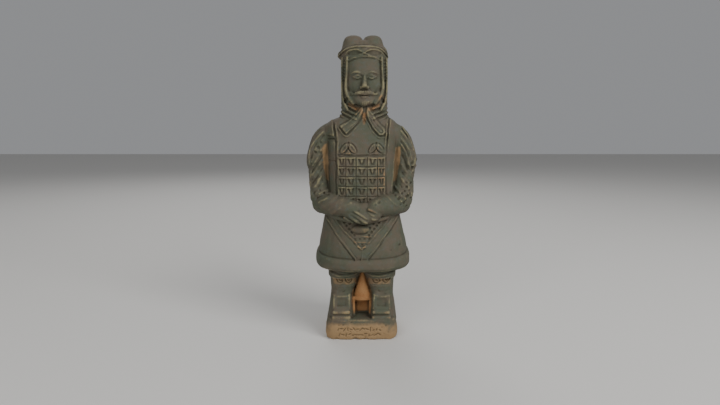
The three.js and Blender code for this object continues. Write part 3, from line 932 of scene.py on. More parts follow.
@dataclass
class Legs:
    """Boots, shanks and puffed trouser cuffs, with the bare hollow between them.

    Attributes:
        centre: Middle of the legs in X.
        foot_inner: Half of the gap at the feet.
        outer: Outer edge of the shanks.
        front: Depth of the shanks in front of the middle.
    """

    centre: float = SKIRT_X / 2
    foot_inner: float = 6.6
    outer: float = 22.0
    front: float = 17.5

    def shank(self, side: int) -> Loft:
        """One leg from the base to under the hem."""
        heights = (10, 19, 27, 37, 45, 52)
        inner = (0, 0, -0.6, -3.4, -6, -6.2)
        outer = (2, 0.8, -0.4, -0.2, 0.6, 2)
        sections = []
        for z, a, b in zip(heights, inner, outer):
            low, high = self.foot_inner + a, self.outer + b
            sections.append((z, (high - low) / 2, self.front, 16.5, self.centre + side * (low + high) / 2))
        return loft(*sections, power=3.4)

    def boot_x(self, side: int) -> float:
        """Middle of one boot in X."""
        return self.centre + (12.9 if side > 0 else -13.7)

    def boot(self, layer: Layer, side: int) -> None:
        """One boot: a blunt box with a sunk panel between raised edges and two bars across the toe."""
        x = self.boot_x(side)
        shell = loft(
            (12, 8.4, 19.8, 4, x + side * 0.4), (19, 7.8, 19.5, 4, x + side * 0.2), (27.4, 7.2, 18.9, 4, x),
            (30.2, 6.2, 17, 3, x), power=4.4, edge=1.4,
        )
        layer.add(shell, 1.4)
        layer.cut(Slab((x - 3.9, -30, 21.4), (x + 3.9, -18.2, 28), 1.5), 1.2)
        layer.add(Slab((x - 6, -20.4, 16.9), (x + 5.6, -12, 19.4), 1.1), 0.9)
        layer.add(Slab((x - 6.6, -21, 12.9), (x + 6.2, -12, 15.9), 1.3), 0.9)

    def build(self, block: ClayBlock, lumps: Grid) -> None:
        """Shape the legs and press them into the block."""
        layer = Layer(block, (-27, -25, 8), (27, 21, 54))
        for side in BOTH_SIDES:
            layer.add(self.shank(side), 0.6)
        layer.add(Slab((-9, -8, 12), (10, 13.5, 52), 1), 1.2)
        tongue = limb(
            (self.centre + 0.2, -9, 45, 1.2, 3), (self.centre + 0.1, -10.4, 35.6, 3.7, 3.8),
            (self.centre + 0.4, -10.4, 25.4, 7.2, 4.6), end=1.6,
        )
        layer.add(tongue, 0.8)
        layer.cut(Slab((-5.5, -22, 14.4), (5.9, -8.2, 23.4), 0.9), 0.8)
        for side in BOTH_SIDES:
            x = self.centre + side * 5.6
            layer.add(Slab((x - 0.8, -13.6, 13), (x + 0.8, -6, 27), 0.7), 0.6)
            self.boot(layer, side)
            x = self.centre + side * 11.6
            cuff = loft(
                (39.8, 9.4, 17.6, 15, x + side * 1.4), (41.4, 11, 19.4, 16.6, x + side * 0.6),
                (44.4, 11.7, 20, 17.2, x), (48.6, 11.8, 19, 16.6, x), power=2.8, edge=1.6,
            )
            layer.add(cuff, 0.7)
        layer.clay += 0.12 * lumps[layer.window]
        layer.emboss(self.front_relief(layer), self.back_relief(layer))
        layer.press(0.9)

    def front_relief(self, layer: Layer) -> Board:
        """Knee ornaments, trouser creases and the boots' raised edges."""
        board = layer.board()
        for motif in (
            ((-16.8, 41), (-15.8, 38.8), (-13.8, 38.3), (-12.6, 40.2)),
            ((-15, 41), (-14, 39.8), (-12.9, 41.2)),
            ((-10.8, 41.2), (-10.5, 39.2), (-8.6, 37.8), (-6.9, 39.2), (-6.3, 41)),
            ((-9.3, 40.8), (-8.5, 39.3), (-7.6, 40.6)),
            ((7.4, 40.9), (8.4, 38.6), (10.4, 38), (12.2, 39.6), (11, 41.2)), ((9.4, 40.6), (10.6, 39.7)),
            ((13.9, 41), (14.4, 38.9), (16.3, 38.1), (17.9, 39.5), (18.7, 41.4)),
            ((15.5, 41), (16.6, 39.4), (17.3, 40.9))
        ):
            board.curve(motif, 0.62, -0.95)
        for side in BOTH_SIDES:
            x = self.centre + side * 12.4
            board.plate([(x - 7.6, 36.8), (x - 7.6, 41.6), (x + 7.6, 41.6), (x + 7.6, 36.8)], 0.25, 1)
            board.lines(
                (0.8, 0.35, (-8, 36.6), (-2, 35.6), (3, 35.6), (8, 36.4)),
                (1.1, -0.25, (-7, 33.6), (-2, 32.2), (3, 32.2), (7, 33.4)), x=x
            )
            for z, height in ((46.4, 0.35), (45, -0.45), (43.6, 0.4), (42.2, -0.3)):
                board.lines((0.9, height, (-9.6, z + 0.9), (-3, z - 0.3), (3, z), (9.6, z + 1)), x=x)
            x = self.boot_x(side)
            board.lines(
                (1.2, 0.6, (-5.4, 20.6), (-5.6, 25), (-5, 30)),
                (1.2, 0.5, (5.4, 20.6), (5.6, 25), (5.2, 30)),
                (1.1, 0.6, (-5.6, 29.6), (0, 28.9), (5.6, 29.4)), x=x
            )
            board.lines(
                (1, 0.3, (7.8, 15), (7.4, 22), (7, 30)), (0.9, -0.2, (-2, 33), (-1, 31.4), (3, 30.8)), x=x,
                side=side
            )
        return board

    def back_relief(self, layer: Layer) -> Board:
        """Boot tops and a few creases behind the legs."""
        board = layer.board()
        for side in BOTH_SIDES:
            x = self.centre + side * 14.2
            board.lines((0.9, 0.45, (-7, 27.4), (7, 27.4)), (0.8, 0.35, (-7, 17.2), (7, 17.2)), x=x)
            for crease in (-4, 0.5, 4.5):
                board.lines((0.9, -0.25, (crease, 30), (crease * 0.7, 36), (crease * 1.1, 43)), x=x)
        return board


# ---------------------------------------------------------------- robe, apron and armour
@dataclass
class Robe:
    """The robe from hem to neck with the armour, straps, tassels and apron pressed into it.

    Attributes:
        armour_half: Half width of the laced plates.
        armour_top: Height of the top row's upper edge.
        row_pitch: Height of one row of plates.
        apron_tip: Height where the apron's inner edges meet.
    """

    armour_half: float = 15.0
    armour_top: float = 121.8
    row_pitch: float = 6.35
    apron_tip: float = 63.2

    SECTIONS: ClassVar[tuple[tuple[float, ...], ...]] = (
        (48.4, 28.6, 24.5, 22.5, SKIRT_X), (58.4, 30.2, 25.4, 23.2, SKIRT_X), (72, 27.8, 23.4, 21, 0.7),
        (86, 25, 21.6, 19, 0.4), (103, 22.8, 20, 17.4, 0.2), (122, 22.6, 19, 17.2, 0),
        (134, 23.2, 17, 16.6, 0), (141, 23.2, 14.6, 15, 0.2), (145, 20.6, 12.6, 13.2, 0.8),
        (148, 16, 11.2, 12.2, 1.4), (152, 13.8, 10.4, 11.6, HEAD_X), (159, 13, 9.4, 11.2, HEAD_X)
    )

    def build(self, block: ClayBlock, dies: Dies, lumps: Grid) -> None:
        """Shape the robe and press it into the block."""
        layer = Layer(block, (-37, -34, 42), (38, 30, 162))
        layer.add(loft(*self.SECTIONS), 0)
        hem = loft(
            (46.9, 28.6, 24, 22, SKIRT_X), (48.1, 31, 26.4, 24.6, SKIRT_X),
            (50.8, 32.2, 27.6, 25.6, SKIRT_X), (53.6, 32, 27.4, 25.5, SKIRT_X), edge=1.2,
        )
        roll = loft(
            (51.6, 32.1, 27.5, 25.6, SKIRT_X), (55.4, 32.2, 27.6, 25.6, SKIRT_X),
            (58.2, 31.2, 26.8, 24.8, SKIRT_X), edge=1.2, drop=0.09,
        )
        layer.add(roll, 0.4)
        layer.add(hem, 0.6)
        layer.clay += 0.12 * lumps[layer.window]
        layer.emboss(self.front_relief(layer, dies), self.back_relief(layer))
        layer.add(Ball((-0.8, -22.6, 75.2), (5.9, 2.5, 2.9)), 0.4)
        layer.press(1)

    def front_relief(self, layer: Layer, dies: Dies) -> Board:
        """Everything pressed into the front of the robe."""
        board = layer.board()
        self.skirt(board)
        self.apron(board, dies)
        self.breastplate(board)
        self.tassels(board)
        self.plates(board, dies, 5)
        return board

    def skirt(self, board: Board) -> None:
        """Soft folds of the skirt."""
        board.lines(
            (2.4, 0.35, (-27, 60), (-25, 70), (-23, 80)), (2.4, -0.3, (-21, 59), (-20, 67), (-18.5, 74)),
            (2.4, 0.25, (-13, 58.5), (-13.5, 64), (-14.5, 68)),
            (2.4, 0.45, (27.5, 60), (25.5, 72), (23.5, 82)), (2.4, -0.3, (20.5, 59), (20, 68), (19.5, 76)),
            (2.4, 0.25, (13, 58.5), (14, 64), (15.5, 69))
        )
        board.oval((25, 64), (1, 0.8), -0.5)
        board.oval((19, 61.4), (1.1, 0.6), -0.35)

    def apron(self, board: Board, dies: Dies) -> None:
        """Two bands that meet above the hem, with scales, a knot and short bars between them."""
        tip = self.apron_tip
        for side in BOTH_SIDES:
            inner = [(side * 0.3, tip), (side * 8.6, 71.6), (side * 18, 82.2)]
            outer = [(side * 3.9, 56.2), (side * 12.8, 67.6), (side * 24, 82)]
            board.plate([(side * 0.2, 56.4), *inner, (side * 24.6, 84), *outer[::-1]], 0.45, 0.8)
            board.beside(inner, (0, 0, 0.62, 0.6), (side * 0.9, -0.9, 0.5, -0.32))
            board.beside(
                outer, (0, 0, 0.6, 0.5), (-side * 0.7, 0.9, 0.5, -0.3), (side * 0.7, -0.9, 0.55, -0.4)
            )
            for offset, count in ((2, 6), (4.7, 4)):
                start = (
                    side * (6.2 - offset * 0.1) - side * offset * 0.62, 69.8 + offset * 0.55 + offset * 0.2
                )
                end = (side * (14.8 - offset * 0.5) - side * offset * 0.5, 81.4 + offset * 0.1)
                dies.marks.row(
                    board, start, end, count=count, half_length=1.05, half_width=0.85, rise=0.75,
                    turn=-side * 50, turn_slack=14, size_slack=0.15, seed=11 + count
                )
            board.stroke([(side * 5.2, 70.6), (side * 8.4, 74.6), (side * 14.6, 82.6)], 0.5, 0.35)
        board.stroke([(0.2, 56), (0.2, tip)], 0.55, 0.6)
        for z, half in ((70.9, 6.2), (67.3, 4.6), (64.2, 2.7)):
            board.stroke([(-half, z), (half + 0.4, z)], 0.65, 0.5)
        for z, half, count in ((69.1, 4.2, 4), (65.7, 2.7, 3)):
            dies.marks.row(
                board, (-half, z), (half + 0.6, z), count=count, half_length=0.85, half_width=0.5, rise=0.6,
                turn_slack=8, size_slack=0.15, seed=31
            )

    def breastplate(self, board: Board) -> None:
        """Bib edges and the shoulder straps in front."""
        half, top = self.armour_half + 0.5, self.armour_top
        bottom = top - 5 * self.row_pitch
        for side in BOTH_SIDES:
            edge = [(side * half, bottom + 6), (side * half, 132), (side * (half + 1.4), 143)]
            board.beside(edge, (0, 0, 0.9, 0.8), (side * 1.1, 0, 0.6, -0.45))
        board.plate([(-20.8, 96), (-16.9, 96), (-16.9, 131.4), (-20.6, 131.4)], 0.5, 1.6)
        board.plate([(-24.4, 149), (-19, 149), (-18, 135), (-23.6, 135.6)], 1.3, 1.1)
        board.lines(
            (0.8, 0.4, (-23.6, 148), (-23.4, 141), (-23, 135.6)),
            (0.8, 0.4, (-19.4, 148), (-19.2, 141), (-18.6, 135.2))
        )
        board.stroke([(-24.6, 134.4), (-22, 133.2), (-17.6, 133.4), (-16.6, 131)], 0.9, -1)
        board.stroke([(-21.4, 119.6), (-18.4, 119.2), (-16.6, 118.4)], 0.5, -0.45)
        inner = [(16.4, 96), (16.2, 112), (16.4, 126), (17.6, 138), (19, 148)]
        outer = [(20.4, 96), (21.4, 112), (23, 126), (25, 138), (26.8, 148)]
        board.plate(inner + outer[::-1], 0.5, 1.4)
        board.beside(inner, (0.5, 0, 0.7, 0.3), (-0.7, 0, 0.8, -0.5), (-1.7, 0, 0.7, 0.4), smooth=True)
        board.beside(outer, (-0.6, 0, 0.7, 0.35), (0.9, 0, 0.9, -0.5), smooth=True)

    def tassels(self, board: Board) -> None:
        """A pair of leaf-shaped tassels on each side of the chest."""
        for x, size in ((-8.6, 1), (9.4, 0.95)):
            for side in BOTH_SIDES:
                spot = (x + side * 2.5 * size, 127.2)
                turn = -side * 52
                for long, short, height in ((5.4, 3.2, 0.3), (4.6, 2.4, -0.7), (3.9, 1.8, 1.25)):
                    board.oval(spot, (long * size, short * size), height, turn, flat=True)
                board.oval((spot[0] + side * 0.2, spot[1] - 0.2), (2.6 * size, 0.6), -0.45, turn)
            board.stroke([(x, 131), (x, 126.4)], 0.6, -0.5)
            board.plate([(x - 1.9, 122.8), (x + 1.9, 122.8), (x, 126.6)], 0.6, 0.7)

    def plates(self, board: Board, dies: Dies, rows: int) -> None:
        """The laced plates, pressed with their die."""
        half, top, pitch = self.armour_half, self.armour_top, self.row_pitch
        bottom = top - rows * pitch
        low, high = bottom + 8, top + 0.5
        panel = [(-half - 0.6, high), (half + 0.6, high), (half + 0.6, low), (half - 4.4, bottom + 4.4)]
        panel += [(half - 6.4, bottom + 0.6), (6.4 - half, bottom + 0.6), (4.4 - half, bottom + 4.4)]
        panel += [(-half - 0.6, low)]
        board.plate(panel, 0.15, 0.6)
        mesh = dies.plates.cast(
            {"Columns": 5, "Rows": rows, "Half Width": half, "Row Pitch": pitch, "Top": top}
        )
        flat = Board(board.x, board.z)
        flat.stamp(mesh)
        bpy.data.meshes.remove(mesh)
        part = flat.part([(-half, bottom), (half, top)], 1)
        corner = ease(0.5 - flat.inside(panel, part) / 0.6)
        board.height[part] += flat.height[part] * corner
        board.beside([(-half - 0.4, top), (half + 0.4, top)], (0, 1, 0.55, -0.4), (0, 2, 0.5, 0.3))
        board.stroke(panel[2:], 0.7, 0.4)

    def back_relief(self, layer: Layer) -> Board:
        """Plain rows, straps, a sash and soft folds on the back."""
        board = layer.board()
        half, top, pitch = self.armour_half + 0.4, self.armour_top, self.row_pitch
        bottom = top - 5 * pitch
        board.plate([(-half, top), (half, top), (half, bottom), (-half, bottom)], 0.8, 0.7)
        for row in range(6):
            line = [(-half, top - row * pitch), (half, top - row * pitch)]
            board.stroke(line, 0.55, 0.4 if row in (0, 5) else -0.6)
            if row:
                board.beside(line, (0, 0.9, 0.5, 0.25))
        for column in (-0.6, -0.2, 0.2, 0.6):
            board.stroke([(column * half, top), (column * half, bottom)], 0.45, -0.3)
        for side in BOTH_SIDES:
            board.plate([(side * 16, 92), (side * 16, 150), (side * 22.6, 150), (side * 21.8, 92)], 0.8, 0.8)
            board.lines(
                (0.8, -0.25, (19, 94), (19.2, 146)), (2, 0.4, (2.5, 88), (8, 80), (11, 62)),
                (2.4, -0.4, (10, 88), (17, 76), (21, 60)), (2.2, 0.4, (18, 88), (24, 74), (27.5, 60)),
                (1.8, 0.3, (4, 131), (10, 135), (15, 143)), side=side
            )
        board.lines((0.7, -0.45, (0.8, 87), (0.8, 58)), (0.9, 0.5, (-23, 89.4), (23, 89.4)))
        board.lines((0.7, -0.4, (-23, 87.2), (23, 87.2)))
        return board


@dataclass
class Scarf:
    """A scarf wound round the neck, and the cap's ribbons that hang over the chest.

    Attributes:
        turns: Number of bands.
        pitch: Height of one band.
        top: Height of the top band at the sides.
    """

    turns: int = 4
    pitch: float = 2.7
    top: float = 156.6

    def build(self, block: ClayBlock, lumps: Grid) -> None:
        """Wind the scarf and lay the ribbons over it."""
        layer = Layer(block, (-22, -22, 136), (26, 22, 166))
        collar = loft(
            (142, 17, 12.8, 13, 1.4, 0.2), (146.4, 16.2, 12.9, 13.2, 1.6, 0.2),
            (150.6, 15.3, 12.4, 13, HEAD_X, 0.2), (158.4, 14.2, 11.2, 12.4, HEAD_X, 0.2), power=2.4,
            edge=1.2,
        )
        layer.add(collar, 0)
        layer.add(Ball((HEAD_X, -9.2, 151), (4.6, 4.2, 5.4)), 1.5)
        layer.clay += 0.12 * lumps[layer.window]
        front, back = layer.board(), layer.board()
        for turn in range(self.turns):
            z = self.top - turn * self.pitch
            for side in BOTH_SIDES:
                slope = 0.42 + 0.05 * turn
                line = [(HEAD_X + side * away, z - slope * (16 - away)) for away in (17, 13, 9, 5.6)]
                front.beside(line, (0, 0, 1.2, 1), (0, -self.pitch / 2, 0.75, -0.75), smooth=True)
            line = [(HEAD_X - 17, z - 0.4), (HEAD_X + 17, z - 0.4)]
            back.beside(line, (0, 0, 1.2, 0.7), (0, -self.pitch / 2, 0.7, -0.5))
        layer.emboss(front, back, soft=8)
        layer.press(0.5)
        self.ribbons(block)

    def ribbons(self, block: ClayBlock) -> None:
        """Lay the two flat ribbon ends over the scarf and the chest."""
        top = Layer(block, (-19, -24, 131), (20, -4, 158))
        left = [(0.9, 154.4), (-3.4, 150.2), (-8.4, 145), (-14, 141.4), (-9.6, 136.2), (-5.2, 140.6)]
        left += [(-0.6, 146.6), (1.2, 151.4)]
        right = [(3.6, 154.4), (6.4, 150.4), (10.6, 144.6), (15.2, 139.8), (15.4, 137.2), (13.6, 135.4)]
        right += [(11, 135.6), (7, 140.2), (3.8, 146.6), (3.2, 151.4)]
        board = top.board()
        for outline in (left, right):
            board.plate(outline, 1.5, 0.9)
            board.stroke(smooth_line([*outline, outline[0]], 3), 0.6, -0.25)
        fold = [
            (4.6, 150.8), (8.6, 144.2), (13.4, 138.6), (12.8, 137.2), (11.4, 137.6), (7.6, 141.8),
            (5, 146.6)
        ]
        board.lines(
            (0.55, -0.55, (-0.6, 151.4), (-6, 145.4), (-12.6, 140)),
            (0.55, -0.55, (0.4, 148.8), (-4.6, 142.4), (-10.6, 137.6)), (0.55, -0.55, *fold),
            (0.8, 0.75, (-15.2, 140.6), (-9.6, 134.8), (-4.2, 139.6), (0.4, 145.2)),
            (0.8, 0.75, (2.6, 145.8), (6, 139.2), (10.6, 134.2), (14.4, 134), (16.6, 136.6))
        )
        share = ease((-6 - top.y) / 4)
        block.clay[top.window] -= share * board.height[:, None, :]


# ---------------------------------------------------------------- sleeves and hands
@dataclass
class Sleeves:
    """Both sleeves with their shoulder guards, forearms and the webs of clay behind the arms.

    Attributes:
        span: Half span at the shoulders.
        guard_end: Height of the shoulder guard's lower edge.
    """

    span: float = 37.0
    guard_end: float = 114.5

    # For each side: folds as a half width, a height and points, and dents as a place, a radius and a height.
    FOLDS: ClassVar[dict[int, tuple[tuple[object, ...], ...]]] = {
        -1: (
            (1.1, 0.8, (-25.5, 137.7), (-31.4, 131.1), (-34.3, 126.6), (-35.2, 120.9), (-34, 115.6)),
            (0.9, -0.4, (-27.5, 139.4), (-33, 132.7), (-36, 126)),
            (1.2, -0.6, (-25, 135.2), (-29.8, 129.4), (-32.4, 125.2), (-33.2, 120.6)),
            (1.2, 0.8, (-26.2, 126.2), (-28.6, 121.8), (-32.3, 115.6)),
            (1, -0.65, (-26.2, 121.6), (-29.4, 116.6), (-32.6, 111.4)),
            (1.3, 0.8, (-25.2, 119.6), (-27.6, 116.2), (-32.8, 109.7)),
            (1.1, -0.6, (-25, 114.6), (-28.4, 109.6), (-32.4, 104.2)),
            (1.3, 0.65, (-24.6, 111.6), (-28, 106.6), (-32.4, 100.6)),
            (1.1, -0.5, (-24.4, 107), (-27.6, 103), (-31.4, 97.4)),
            (1.2, 0.8, (-22.4, 99.6), (-25, 99), (-27.8, 97.4)),
            (0.9, -0.6, (-21.4, 97.4), (-25, 96.6), (-28.6, 94.4)),
            (1.1, 0.7, (-22.2, 95.6), (-25, 94.2), (-28, 91.8)),
            (1.2, 0.5, (-33.9, 112), (-34.4, 104), (-33.2, 96.6)),
            (1.7, -0.4, (-12.6, 97.6), (-18, 93.6), (-24, 88)),
            (1.7, 0.35, (-7, 93), (-12.6, 90.4), (-19, 85.6))
        ),
        1: (
            (1.1, 0.6, (27, 141.5), (31.4, 134.8), (34.8, 127.4), (35.6, 120.4), (34.4, 115)),
            (0.7, -0.5, (26.6, 140), (30.6, 134.4), (34.2, 126.8)),
            (0.9, 0.6, (26.2, 138.4), (28.9, 135.5), (32.6, 130.4), (34.6, 125.4)),
            (0.7, -0.5, (26, 136.4), (29.2, 132.6), (32.8, 126.6)),
            (0.9, 0.55, (25.8, 134.4), (28.4, 130.8), (31.4, 125.6), (32.8, 120.6)),
            (0.9, -0.6, (25.8, 131.6), (28.4, 127.4), (30.8, 121.6)),
            (1.3, 0.95, (26, 129.2), (28, 125.8), (30.4, 119.8), (32.5, 113.8)),
            (1.1, -0.65, (25.6, 124.4), (28, 119.8), (30.6, 113.2)),
            (1.3, 0.7, (25, 118.6), (28.6, 112.8), (33, 108.4)),
            (1, -0.55, (24.6, 114.4), (28, 109.4), (32.4, 104.8)),
            (1.3, 0.65, (23.6, 110.8), (27, 106.2), (31.4, 101.2)),
            (1, -0.55, (22.6, 106.8), (26, 102.4), (30, 97.4)),
            (1.3, 0.6, (20.6, 103.8), (24.6, 99.6), (28.4, 94.4)),
            (1.2, -0.5, (17.6, 100.6), (22.6, 95.6), (26.6, 89.8)),
            (1.4, 0.5, (12.6, 99), (18, 95.4), (22.6, 91))
        )
    }
    DENTS: ClassVar[dict[int, tuple[tuple[float, ...], ...]]] = {
        -1: (
            (-28.6, 127.6, 1.5, -0.8), (-26.8, 130.6, 1.2, -0.6), (-30.6, 124.6, 1.4, -0.8),
            (-27.4, 124, 1.3, -0.7), (-24.6, 97.8, 0.8, -0.6), (-27.4, 99.6, 0.8, -0.6),
            (-33, 118, 0.8, 0.5)
        ),
        1: (
            (33.6, 114.2, 1.6, -1), (34.6, 112.2, 1.3, 0.7), (32.5, 103.9, 1.1, -0.8),
            (29.8, 101.7, 1.2, -0.9), (30.3, 95.7, 1.2, -0.9), (24.3, 95.1, 1.3, -0.9),
            (27.5, 92.1, 1.2, -0.9), (26.4, 97.6, 0.9, -0.7), (28.4, 98.8, 0.8, -0.7),
            (31.6, 99.4, 0.8, -0.7), (29.4, 89.4, 0.9, -0.8), (25.2, 91.2, 0.8, -0.6),
            (32.6, 94.4, 0.8, -0.6), (22, 97, 0.8, -0.6), (25.8, 93.2, 0.9, 0.7), (28.7, 94.5, 0.9, 0.7),
            (27.2, 100.8, 0.8, 0.6), (31, 97.4, 0.8, 0.6), (11, 93.4, 1.3, -0.5), (8.6, 92, 0.9, -0.4)
        )
    }

    def build(self, block: ClayBlock, lumps: Grid, crumple: Grid) -> None:
        """Shape both sleeves and press them on."""
        for side in BOTH_SIDES:
            self.sleeve(block, side, lumps, crumple)

    def sleeve(self, block: ClayBlock, side: int, lumps: Grid, crumple: Grid) -> None:
        """Shape one sleeve."""
        near, far = (-40, 14) if side < 0 else (-6, 40)
        layer = Layer(block, (near, -36, 76), (far, 14, 152))
        guard = limb(
            (15, 0.4, 140.5, 6.2, 7.6), (25, 0.4, 133, 7.8, 9.2), (self.span - 7.4, 0.2, 121.5, 7.4, 9.6),
            (self.span - 7.4, 0, self.guard_end + 1.6, 7.3, 9.4), steps=5, end=1.2, mirror=side,
        )
        lower = limb(
            (self.span - 8, 0, 121, 6.8, 9), (self.span - 8.5, -1.2, 107, 7.1, 9.2),
            (27, -4.4, 95.5, 7.6, 9), (25.6, -7, 89.6, 5.8, 7.6), end=2.4, mirror=side,
        )
        forearm = limb(
            (26, -6.4, 91, 8, 7.6), (19, -16.5, 90.6, 7.7, 7.2), (9.6, -22.6, 89.6, 6, 5.8),
            (4.5 + 2 * side, -23.4, 88.8, 4.8, 4.2), side=(0, 0, 1), end=1.6, mirror=side,
        )
        layer.add(guard, 0)
        layer.add(lower, 0.5)
        layer.add(forearm, 2)
        cuff = limb(
            (21.6, -14.6, 84.6, 1.3, 2), (14.4, -20.4, 82.6, 1.7, 2.4), (7.4, -23.2, 80.8, 1.3, 1.8),
            end=0.9, mirror=side,
        )
        layer.add(cuff, 0.6)
        near, far = (-28, -17) if side < 0 else (17, 28)
        layer.add(Slab((near, -7, 94), (far, 4, 132), 1), 0.8)
        layer.clay += 0.12 * lumps[layer.window]
        zone = ease((130 - layer.z) / 14) * ease((layer.z - 84) / 5) * ease((side * layer.x - 22) / 6)
        layer.clay += (0.75 if side > 0 else 0.5) * zone * crumple[layer.window]
        front, back = layer.board(), layer.board()
        self.folds(front, side)
        beside_slot = ease((side * layer.x[:, 0, :] - 24.4) / 3)
        front.height *= np.where(np.abs(layer.z[:, 0, :] - 117) < 13.5, beside_slot, 1)
        back.lines(
            (1.4, 0.4, (18, 139), (27, 131), (32, 120)), (1.4, -0.35, (21, 133), (28, 125), (31, 116)),
            (1.4, 0.35, (25, 108), (30, 102), (33, 96)), (1.4, -0.3, (24, 100), (28, 95), (30, 90)),
            side=side
        )
        layer.emboss(front, back)
        layer.press(1.5)

    def folds(self, board: Board, side: int) -> None:
        """Folds, ridges and pits in the front of one sleeve."""
        board.lines(*self.FOLDS[side])
        for x, z, radius, height in self.DENTS[side]:
            board.oval((x, z), (radius, radius * 0.7), height, turn=side * 35)


@dataclass
class Hands:
    """Both hands, one laid over the other, with the fingers slanting down across the front.

    Attributes:
        deep: How far the fingers stand out along -Y.
    """

    deep: float = 30.0

    FINGERS: ClassVar[tuple[tuple[Spot, ...], ...]] = (
        ((-5.2, 88.4), (-1, 86), (2.4, 83.8), (4.2, 82.6)),
        ((-6.2, 86.2), (-2, 84), (1.6, 81.6), (3, 80.8)), ((-7.4, 84.2), (-3.6, 82.2), (-1.2, 80.8)),
        ((4.2, 89.2), (8.2, 87.6), (11.2, 85.4)), ((4.2, 86.8), (6.9, 85.3), (9.8, 84.6)),
        ((5, 84.4), (7, 83), (9, 82.8))
    )

    def build(self, block: ClayBlock, lumps: Grid) -> None:
        """Shape both hands and press them on."""
        layer = Layer(block, (-18, -35, 74), (18, -14, 100))
        palm = limb(
            (-10, -23.6, 87.2, 3.6, 3.8), (-3, -25, 84.8, 4.6, 4.2), (2.4, -25.2, 83.8, 4.9, 4.4),
            (8, -24.6, 85.4, 4.4, 4), (11.6, -23.2, 87.4, 2.6, 3.2),
        )
        layer.add(palm, 1)
        layer.add(Ball((2.2, -23, 88.8), (7, 4, 4)), 2)
        for line in self.FINGERS:
            joints = []
            for number, (x, z) in enumerate(line):
                end = number in (0, len(line) - 1)
                y = (2.1 if end else 0.9) + 0.02 * x * x - self.deep
                joints.append((x, y, z, 0.9 if end else 1.15, 1.5))
            layer.add(limb(*joints, end=0.4), 0.5)
        little = limb((-10.8, -25.2, 83.4, 0.9, 1.8), (-5.8, -26.2, 80.8, 0.9, 1.8), end=0.9)
        layer.add(little, 0.4)
        layer.clay += 0.1 * lumps[layer.window]
        layer.press(0.5)


